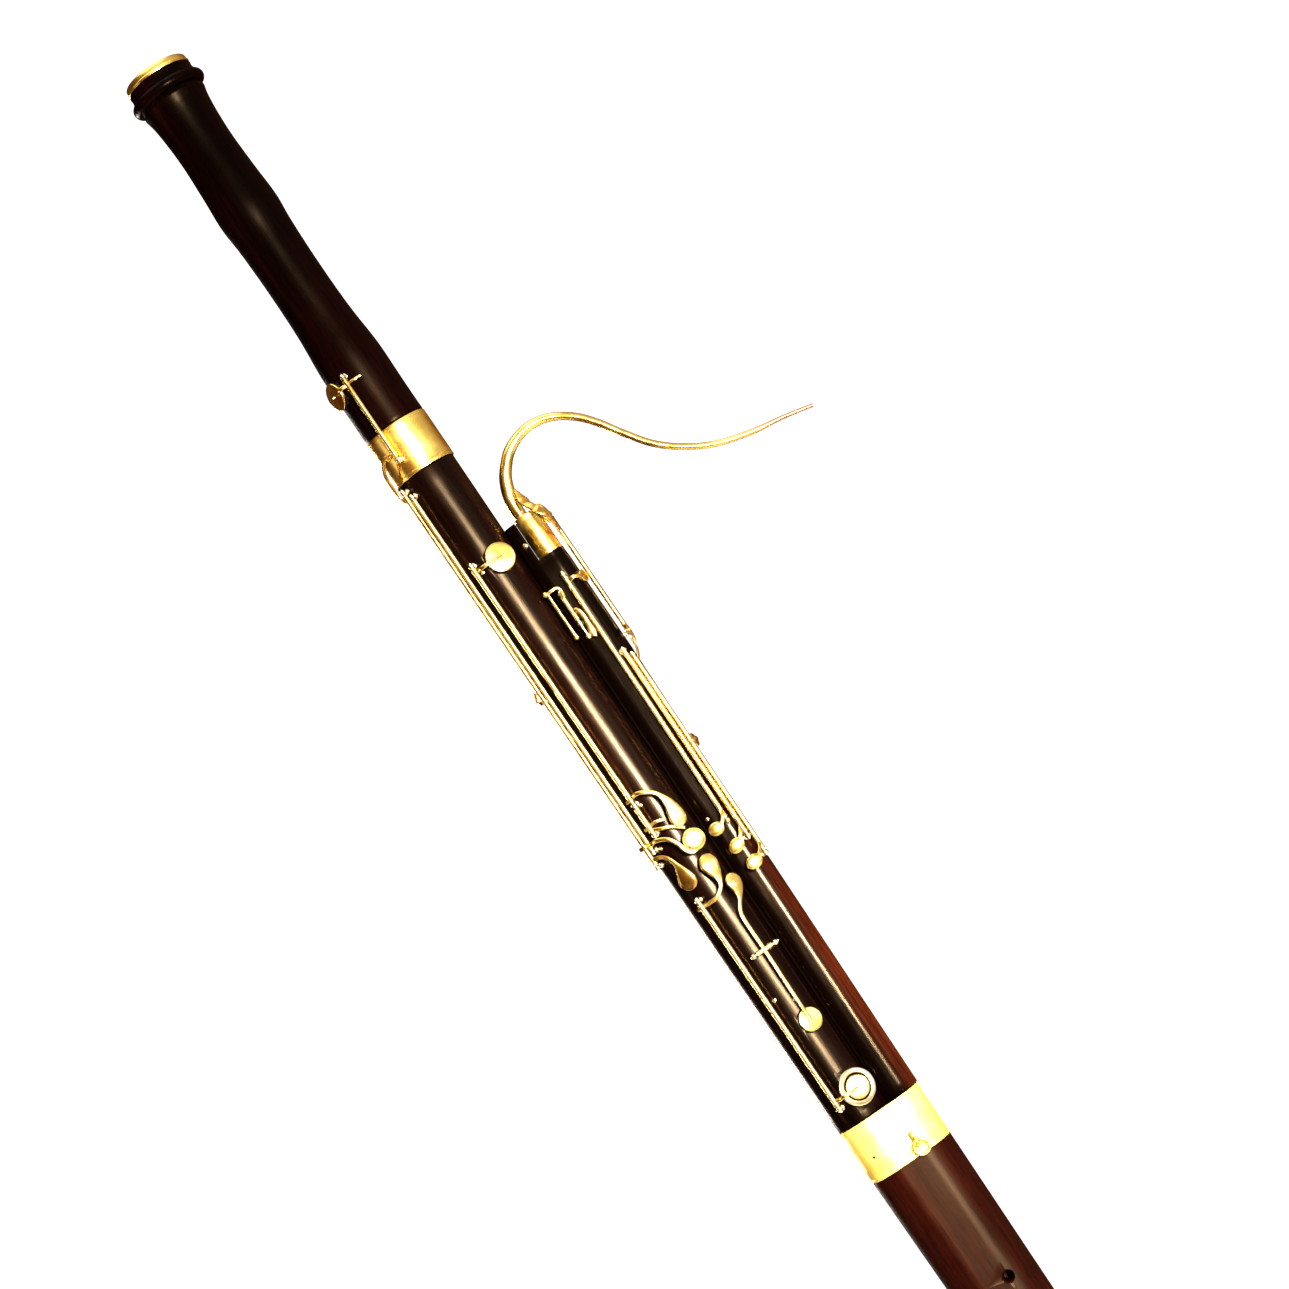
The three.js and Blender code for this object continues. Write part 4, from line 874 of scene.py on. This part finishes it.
def bell_wood():
    foot = [(22.8, BELL_Z + GAP), (22.8, BELL_FERRULE_TOP - 0.4), (BELL_FOOT_R - 0.3, BELL_FERRULE_TOP + GAP)]
    flare = curve_through([
        (BELL_FOOT_R, BELL_FERRULE_TOP + 1.4), (23.65, 1052), (24, 1082), (23.4, 1096), (22.3, 1110),
        (21.5, 1124), (21.05, 1146), (21.15, 1172), (21.9, 1197), (23.3, 1218), (22.2, 1241), (21.25, 1267),
        (21.5, 1284), (22.4, 1298), (23.4, 1306.5), (24.4, 1311), (24.9, 1313.2)], 10)
    bead = arc((24.8, 1321.4), 4.4, -100, 78, 14)
    neck = [(25.6, 1327.4), (25.15, 1328.6), (25.05, 1330.6), (25.3, 1332), (25.2, RIM_LOW - GAP)]
    inside = [(BELL_MOUTH_R, RIM_LOW - GAP), (15.5, 1240), (16.5, 1120), (15.4, BELL_FERRULE_TOP + 1),
              (BELL_SOCKET_R, BELL_FERRULE_TOP + 1), (BELL_SOCKET_R, BELL_Z + GAP)]
    profile = fill_long([*foot, *flare, (24.9, 1313.3), *bead, *neck, *inside, foot[0]])
    piece = Shell().turned(profile, (LONG_X, 0, 0), UP, ROUND).piece("bell_rosewood", BELL_WOOD)
    cut_from(piece, [seat_tool(KEYS["bell_key"])])
    return finish_piece(piece, "instrument", "rosewood", "bell_joint")


def long_wood():
    tenon_low, tenon_top = SOCKET_FLOOR + 1, 1028
    outside = [
        (LONG_TENON_R - 0.5, tenon_low), (LONG_TENON_R, tenon_low + 0.6), (LONG_TENON_R, JOINT_Z + GAP),
        *arc((LONG_R_LOW - 0.9, JOINT_Z + GAP + 0.9), 0.9, -90, 0, 5), (LONG_R_LOW + 0.7, 640),
        (LONG_R_TOP - 0.5, 880), *arc((LONG_R_TOP - 0.6, BELL_Z - GAP - 0.6), 0.6, 0, 90, 4),
        (17, BELL_Z - GAP), (17, tenon_top - 0.6), (16.5, tenon_top)]
    profile = fill_long([*outside, (14.2, tenon_top), (LONG_BORE_R, tenon_low), outside[0]])
    piece = Shell().turned(profile, (LONG_X, 0, 0), UP, ROUND).piece("long_rosewood", LONG_WOOD)
    tools = [seat_tool(KEYS[name]) for name in ("low_b_key", "low_c_key", "low_e_flat_key")]
    cut_from(piece, [*tools, guard_flat(), seat_tool(KEYS["low_d_key"])])
    return finish_piece(piece, "instrument", "rosewood", "long_joint")


def guard_flat():
    """The flat across the foot of the joint that carries the guard ring."""
    place, half_width, half_height = pad_place(KEYS["low_d_key"]), 22, 15.5
    out, across = place["out"], UP.cross(place["out"])
    corners = ((-1, -1), (1, -1), (1, 1), (-1, 1))
    return Shell().skin([[
        place["centre"] + out * h + across * (a * half_width) + Vector((0, 0, b * half_height))
        for a, b in corners] for h in (place["seat"], place["seat"] + 12)])


def slot_exit(origin, way, left, right, radius, y=0.0):
    """How far a ray from inside a slot-shaped section travels before it leaves it."""
    best = 0.0
    for cx in (left, right):
        rel = origin - Vector((cx, y, 0))
        b, c = rel.dot(way), rel.length_squared - radius * radius
        root = b * b - c
        if root > 0:
            best = max(best, -b + math.sqrt(root))
    if abs(way.y) > 1e-6:
        t = (math.copysign(radius, way.y) + y - origin.y) / way.y
        if t > 0 and left <= origin.x + way.x * t <= right:
            best = max(best, t)
    return best


EPAULE = [  # height, left, right, radius, y of the thick flank on the finger side
    (588, 18, 21, 9, 0), (622, 19, 23, 10, 11), (800, 20, 25, 10, 12), (842, 20, 26, 9, 0)]


def wing_ring(z):
    """The wing's outline at a height: its round back, the finger flank and the long joint's hollow."""
    flanked = EPAULE[0][0] < z < EPAULE[-1][0]
    origin = Vector((21.5, 2.5 if flanked else 1.0, 0))
    bass_r = lerp(LONG_R_LOW, LONG_R_TOP, (z - JOINT_Z) / (BELL_Z - JOINT_Z)) + 0.4
    ring = []
    for way in (Vector((c, s, 0)) for c, s in around(96)):
        reach = slot_exit(origin, way, *wing_section(z))
        if flanked:
            flank = slot_exit(origin, way, *row_at(EPAULE, z, smooth))
            soft = 1.6
            blend = clamp(0.5 + (flank - reach) / (2 * soft), 0, 1)
            reach = lerp(reach, flank, blend) + soft * blend * (1 - blend)
        rel = origin - Vector((LONG_X, 0, 0))
        b, c = rel.dot(way), rel.length_squared - bass_r ** 2
        root = b * b - c
        if root > 0 and -b - math.sqrt(root) > 0:
            reach = min(reach, -b - math.sqrt(root))
        ring.append(origin + way * reach + Vector((0, 0, z)))
    return ring


def wing_wood():
    low = JOINT_Z + GAP
    heights_up = [low + 0.9 + (WING_NECK_Z - JOINT_Z - 1.2) * i / 74 for i in range(75)]
    rings = [wing_ring(z) for z in [*heights_up, 886, 888, 890, 896, 904, 914, WING_TOP - 0.8]]

    def eased(ring, inset, z):
        centre = sum(ring, Vector()) / len(ring)
        return [Vector((*(p + (centre - p).normalized() * inset).xy, z)) for p in ring]

    rings.insert(0, eased(rings[0], 0.25, low + 0.3))
    rings.insert(0, eased(rings[1], 0.8, low))
    rings.append(eased(rings[-1], 0.25, WING_TOP - 0.2))
    rings.append(eased(rings[-2], 0.7, WING_TOP))
    piece = Shell().skin(rings).piece("wing_rosewood", WING_WOOD)
    cut_from(piece, [column(WING_TENON_X, WING_TENON_R, SOCKET_FLOOR + 1, 450)], "UNION")
    holes = [finger_tool(z, slope) for z, slope in ((780, -0.5), (716, 0), (652, 0.35))]
    bore = column(CROOK_X, SOCKET_BORE_R, SOCKET_LOW - 20, WING_TOP + 2)
    seats = [seat_tool(KEYS["wing_a_key"]), seat_tool(KEYS["wing_c_key"])]
    cut_from(piece, [ferrule_room(), bore, *holes, *seats])
    return finish_piece(piece, "instrument", "rosewood", "wing_joint")


def column(x, r, low, high):
    return Shell().turned(rod(r, low, high), (x, 0, 0), UP, 48)


def ferrule_room():
    """The step turned round the wing's top for the crook socket, open on all sides but the long joint's."""
    keep, low, high = SOCKET_X - SOCKET_R - GAP, SOCKET_LOW - GAP, WING_TOP + 2
    inner, outer = SOCKET_R - 1.3, SOCKET_R + 6
    return Shell().skin([
        [Vector((max(SOCKET_X + r * c, keep), r * s, z)) for c, s in around(64)]
        for r, z in ((inner, low), (outer, low), (outer, high), (inner, high))], closed=True)


def finger_tool(z, slope):
    """A slanted finger hole with a widened mouth."""
    inside = Vector((22, 0, z))
    way = Vector((24, 26, z + slope * 26)) - inside
    length = way.length
    return Shell().turned([(0, 0), (3.2, 0), (3.2, length - 5.2), (3.6, length - 4), (3.6, length + 2),
                           (0, length + 2)], inside, way.normalized(), 40)


def slot_ring(z, grow):
    """The boot's outline at a height, grown outwards."""
    left, right, radius = boot_section(z)
    radius += grow
    ring = []
    for centre, start in ((right, -90), (left, 90)):
        for a in (math.radians(start + 180 * i / 60) for i in range(61)):
            ring.append(Vector((centre + radius * math.cos(a), radius * math.sin(a), z)))
    return ring


def boot_wood():
    steps = [(BOOT_WOOD_LOW, -1.6), (BOOT_CAP_TOP, -1.6), (BOOT_CAP_TOP + GAP, -0.3), (BOOT_CAP_TOP + 0.8, 0)]
    span = BOOT_FERRULE_LOW - GAP - 1 - BOOT_CAP_TOP
    steps += [(BOOT_CAP_TOP + 0.8 + span * i / 32, 0) for i in range(1, 33)]
    steps += [(BOOT_FERRULE_LOW - GAP, -0.3), (BOOT_FERRULE_LOW - GAP + 0.01, -1.6), (JOINT_Z - 1.6, -1.6)]
    piece = Shell().skin([slot_ring(z, grow) for z, grow in steps]).piece("boot_rosewood", BOOT_WOOD)
    low, top = BOOT_WOOD_LOW - 1, JOINT_Z + 1
    hollows = [column(LONG_X, LONG_BORE_R - 1, low, top), column(LONG_X, LONG_SOCKET_R, SOCKET_FLOOR, top),
               column(WING_BORE_X, WING_BORE_R, low, top),
               column(WING_TENON_X, WING_SOCKET_R, SOCKET_FLOOR, top)]
    seats = [seat_tool(KEYS[name]) for name in ("boot_f_key", "boot_a_flat_key", "boot_f_sharp_key")]
    cut_from(piece, [*hollows, *seats, *boot_holes()])
    return finish_piece(piece, "instrument", "rosewood", "boot_joint")


def boot_holes():
    """Three finger holes on the front, and the thumb hole with its dished rim on the back."""
    tools = []
    for z, r in ((352, 3.4), (308, 3.4), (262, 3.6)):
        skin_y = boot_section(z)[2]
        start, way = Vector((WING_BORE_X - 4, 0, z)), Vector((-2, 30, 0)).normalized()
        tools.append(Shell().turned([(0, 0), (r, 0), (r, skin_y - 0.9), (r + 0.8, skin_y + 0.4),
                                     (r + 0.8, skin_y + 6), (0, skin_y + 6)], start, way, 40))
    skin_y = boot_section(300)[2]
    dish = arc((3.4 + 3.4, skin_y - 3.0), 3.4, 180, 118, 8)
    tools.append(Shell().turned([(0, 0), (3.4, 0), *dish, (5.9, skin_y + 0.3), (5.9, skin_y + 5),
                                 (0, skin_y + 5)], (10.1, 0, 300), FORWARD, 48))
    return tools


# Brass mounts


def bell_ferrule():
    """A turned band with rolled edges and a fine line near each edge."""
    low, high, r = BELL_Z, BELL_FERRULE_TOP - 0.1, BELL_FERRULE_R

    def line(z):
        return [(r, z - 0.45), (r - 0.16, z - 0.15), (r - 0.16, z + 0.15), (r, z + 0.45)]

    inner_low = (BELL_FERRULE_BORE_R, low)
    profile = [inner_low, (r - 0.45, low), (r - 0.1, low + 0.25), (r, low + 0.7), *line(low + 2.6),
               *line(high - 2.6), (r, high - 0.7), (r - 0.1, high - 0.25), (r - 0.45, high),
               (BELL_FERRULE_BORE_R, high), inner_low]
    piece = Shell().turned(profile, (LONG_X, 0, 0), UP, ROUND).piece("bell_ferrule_brass", MOUNT_BRASS, 28)
    return finish_piece(piece, "instrument", "brass", "bell_ferrule")


def bell_rim():
    profile = [(BELL_MOUTH_R, RIM_LOW), (25.0, RIM_LOW), *arc((24.6, RIM_LOW + 1.1), 0.9, -60, 70, 6),
               *arc((22.6, TOP - 2.9), 2.5, 30, 90, 6),
               *arc((18.9, TOP - 1.3), 1.3, 90, 180, 6), (BELL_MOUTH_R, TOP - 2.4), (BELL_MOUTH_R, RIM_LOW)]
    piece = Shell().turned(profile, (LONG_X, 0, 0), UP, ROUND).piece("bell_rim_brass", MOUNT_BRASS, 50)
    return finish_piece(piece, "instrument", "brass", "bell_rim_cap")


def boot_ferrule():
    low, high = BOOT_FERRULE_LOW, JOINT_Z
    edge = [(0, -0.35), (0.25, -0.05), (0.7, 0.1), (2.4, 0.1), (2.7, -0.05), (3.0, -0.05), (3.3, 0.1),
            (12, 0.1)]
    outer = [slot_ring(low + d, grow) for d, grow in edge]
    outer += [slot_ring(high - d, grow) for d, grow in reversed(edge)]
    band = Shell().skin([*outer, slot_ring(high, -FERRULE_WALL), slot_ring(low, -FERRULE_WALL)], closed=True)
    piece = band.piece("boot_ferrule_brass", FERRULE_BRASS, 28)
    cut_from(piece, [Shell().turned(rod(0.95, 0, 8), (-21, -26, 418), (0, 1, 0), 20)])
    finish_piece(piece, "instrument", "brass", "boot_ferrule")


def boot_cap():
    high = BOOT_CAP_TOP
    outer = [(0, -3.4), (0.05, -1.6), (0.35, -0.8), (0.9, -0.25), (1.8, 0.1), (3.2, 0.2), (high - 3.2, 0.2),
             (high - 2.9, 0.05), (high - 2.5, 0.05), (high - 2.2, 0.2), (high - 0.5, 0.2), (high, -0.1)]
    rings = [slot_ring(z, grow) for z, grow in outer]
    rings += [slot_ring(high, -FERRULE_WALL), slot_ring(2.4, -FERRULE_WALL), slot_ring(1.4, -2.2)]
    piece = Shell().skin(rings).piece("boot_cap_brass", MOUNT_BRASS, 32)
    finish_piece(piece, "instrument", "brass", "boot_cap")


def crook_socket():
    low, high, r = SOCKET_LOW, SOCKET_TOP, SOCKET_R
    profile = [(r - 1, low), (r - 0.4, low), (r - 0.1, low + 0.2), (r, low + 0.6), (r, low + 1.6),
               (r - 0.2, low + 1.9), (r - 0.2, low + 2.3), (r, low + 2.6), (r, high - 4.6),
               (r - 0.12, high - 4.2), (r, high - 3.8),
               *arc((r - 1.2, high - 1.2), 1.2, 0, 90, 6), (0, high), (0, WING_TOP + GAP),
               (r - 1, WING_TOP + GAP), (r - 1, low)]
    piece = Shell().turned(profile, (SOCKET_X, 0, 0), UP, 64).piece("crook_socket_brass", MOUNT_BRASS, 32)
    mouth = [(0, WING_TOP - 1), (SOCKET_BORE_R + 0.2, WING_TOP - 1), (SOCKET_BORE_R + 0.2, high - 0.4),
             (SOCKET_BORE_R + 0.7, high + 0.1), (SOCKET_BORE_R + 0.7, high + 2), (0, high + 2)]
    cut_from(piece, [Shell().turned(mouth, (CROOK_X, 0, 0), UP, 64)])
    finish_piece(piece, "instrument", "brass", "crook_socket")


def guard_ring():
    place = pad_place(KEYS["low_d_key"])
    profile = [(9.8, 0), (13.5, 0), *arc((13.0, 2.1), 0.7, 0, 60, 4), (12.4, 3.0), (10.8, 3.0),
               *arc((10.4, 2.4), 0.6, 90, 180, 4), (9.8, 0)]
    ring = Shell().turned(profile, place["base"], place["out"], 72)
    piece = ring.piece("guard_ring_brass", BRIGHT_METAL, 32)
    finish_piece(piece, "instrument", "brass", "d_pad_guard_ring")


RING_X, RING_Z, RING_OUTER, RING_WIRE = 10.6, 412.0, 6.6, 1.1


def strap_ring():
    face = -(boot_section(RING_Z)[2] + 0.1 + GAP)
    shell = Shell()
    rings = []
    for z, half in ((RING_Z - 5, 3.0), (RING_Z - 4.6, 3.5), (RING_Z + 6.6, 3.5), (RING_Z + 7, 3.0)):
        rings.append([Vector((RING_X + a * half, face - b, z)) for a, b in
                      ((-1, 0), (-1, 0.75), (-0.85, 1), (0.85, 1), (1, 0.75), (1, 0))])
    shell.skin(rings)
    eye = [(1.6, -1.2), (2.7, -1.2), (3.0, -0.9), (3.0, 0.9), (2.7, 1.2), (1.6, 1.2), (1.6, -1.2)]
    shell.turned(eye, (RING_X, face - 3.0, RING_Z), (1, 0, 0), 40)
    for dz in (-3.8, 5.6):
        shell.turned([(0, 0), (1.15, 0), (1.15, 0.2), *arc((0, -0.6), 1.3, 38, 90, 4)],
                     (RING_X, face - 1, RING_Z + dz), FORWARD, 20)
    finish_piece(shell.piece("strap_ring_bracket_brass", MOUNT_BRASS), "instrument", "brass",
                 "strap_ring_bracket")
    centre = Vector((RING_X, face - 3.2, RING_Z - RING_OUTER + RING_WIRE))
    loops = []
    for way in (Vector((c, 0, s)) for c, s in around(56)):
        middle = centre + way * (RING_OUTER - RING_WIRE)
        loops.append([middle + way * RING_WIRE * c + Vector((0, RING_WIRE * s, 0)) for c, s in around(16)])
    ring = Shell().skin(loops, closed=True).piece("strap_ring_brass", MOUNT_BRASS)
    finish_piece(ring, "strap_ring", "brass", "strap_ring")


# Crook
CROOK_ROUTE = [  # x and height from the cork to the reed end
    (CROOK_X, 894), (CROOK_X, 912), (26.5, 930), (27.7, 942), (32, 954), (38, 962.4), (46, 970),
    (58, 975.4), (70.5, 976.7), (84, 973.2), (98, 963.8), (109, 951), (120, 934.2), (132.4, 917.2),
    (148, 903.6), (168, 892), (194, 884.2), (218.7, 880.2), (241.3, 875.3)]
CROOK_RADII = [  # share of the length from the foot, outer radius
    (0, 4.2), (0.1, 4.2), (0.108, 5), (0.15, 5), (0.25, 4.2), (0.32, 3.5), (0.42, 3), (0.57, 2.6),
    (0.72, 2.4), (0.84, 2.2), (0.93, 1.5), (1, 1.3)]


def crook():
    count = 220
    points, total = along_curve([(x, 0, z) for x, z in CROOK_ROUTE], [i / count for i in range(count + 1)])
    outer, inner = [], []
    side = Vector((0, 1, 0))
    for i, (point, along) in enumerate(points):
        part = i / count
        radius = row_at(CROOK_RADII, part, smooth)[0]
        radius += 0.5 * math.exp(-(((part * total) - 29.5) / 1.3) ** 2)
        radius += 0.15 * math.exp(-((total * (1 - part) - 1.0) / 0.9) ** 2)
        across = side.cross(along).normalized()
        for rings, r in ((outer, radius), (inner, max(radius - 0.7, 0.6))):
            rings.append([point + (side * c + across * s) * r for c, s in around(24)])
    shell = Shell().skin([*outer, *reversed(inner)], closed=True)
    finish_piece(shell.piece("crook_tube", CROOK_BRASS), "crook", "brass", "crook")


def crook_vent():
    """The vent nipple on the crook that the crook key closes."""
    shell = Shell().turned([(0.35, 0), (1.7, 0), (1.4, 0.9), (1.2, 2.2), (1, 2.6), (0.35, 2.6), (0.35, 0)],
                           (30.4, -3.7, 938), (0.646, -0.764, 0), 24)
    finish_piece(shell.piece("crook_vent", CROOK_BRASS), "crook", "brass")


# Small parts


def add_spring(key):
    """A needle spring: a steel wire from a pillar along the hinge tube."""
    axle = axle_points(key)
    along = (axle[-1] - axle[0]).normalized()
    out = key["wood"].foot(axle[0])[1]
    across = along.cross(out).normalized()
    start = axle[0] - out * 1.5 + across * 1.1
    reach = min(24.0, (axle[-1] - axle[0]).length * 0.5)
    points = [start, start + along * reach * 0.5 + across * 0.5, start + along * reach + across * 1.2]
    rings = []
    for i, (point, way) in enumerate(along_curve(points, [i / 12 for i in range(13)])[0]):
        a = way.cross(out).normalized()
        b = way.cross(a).normalized()
        r = lerp(0.34, 0.2, i / 12)
        rings.append([point + a * r * c + b * r * s for c, s in around(8)])
    finish_piece(Shell().skin(rings).piece(key["name"] + "_spring", BRIGHT_METAL), "instrument", "steel")


WOOD_PINS = [  # name, wood, x, height, radius
    ("spring_screw_upper", BASS, -17.5, 906.3, 1.3), ("spring_screw_lower", BASS, -17.5, 709.5, 1.3),
    ("spring_screw_touch", BASS, -22.6, 676.5, 1.3), ("spring_screw_d", BASS, -17.1, 545.5, 1.6),
    ("spring_screw_e", BASS, -5.6, 538.5, 1.1), ("socket_pin", WING, 17.4, 906.3, 2.0),
    ("touch_pin", WING, 15.2, 675.5, 1.4)]


def wood_pin(name, wood, x, z, radius):
    """A small domed screw head in the wood."""
    profile = [(0, 0), (radius, 0), (radius, 0.7), *arc((radius - 0.35, 0.7), 0.35, 0, 60, 3), (0.28, 1.2),
               (0.25, 0.85), (0, 0.85)]
    pin = Shell().turned(profile, wood.at(x, z, -0.6), wood.normal(x, z), 24)
    finish_piece(pin.piece(name, BRIGHT_METAL), "instrument", "steel")


def small_parts():
    for name in ("bell_key", "low_b_key", "low_c_key", "low_d_key", "boot_f_key"):
        add_spring(KEYS[name])
    for row in WOOD_PINS:
        wood_pin(*row)


# The CAD nodes that stay


def paint_hidden_nodes():
    wraps = ("long_joint_lower_wrap", "long_joint_upper_wrap", "wing_joint_wrap")
    hidden = {"u_bend_tube": MOUNT_BRASS, "crook_cork": CORK, **dict.fromkeys(wraps, THREAD)}
    for node, material in hidden.items():
        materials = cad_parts[node].data.materials
        materials.clear()
        materials.append(material)


# The scene
add_camera()
add_world()
add_lights()
add_floor()
bell_wood()
long_wood()
wing_wood()
boot_wood()
bell_ferrule()
bell_rim()
boot_ferrule()
boot_cap()
crook_socket()
guard_ring()
strap_ring()
crook()
crook_vent()
for spec in KEYS.values():
    build_key(spec)
small_parts()
paint_hidden_nodes()

bpy.context.scene.view_settings.view_transform = "Standard"
bpy.context.scene.view_settings.look = "Medium High Contrast"
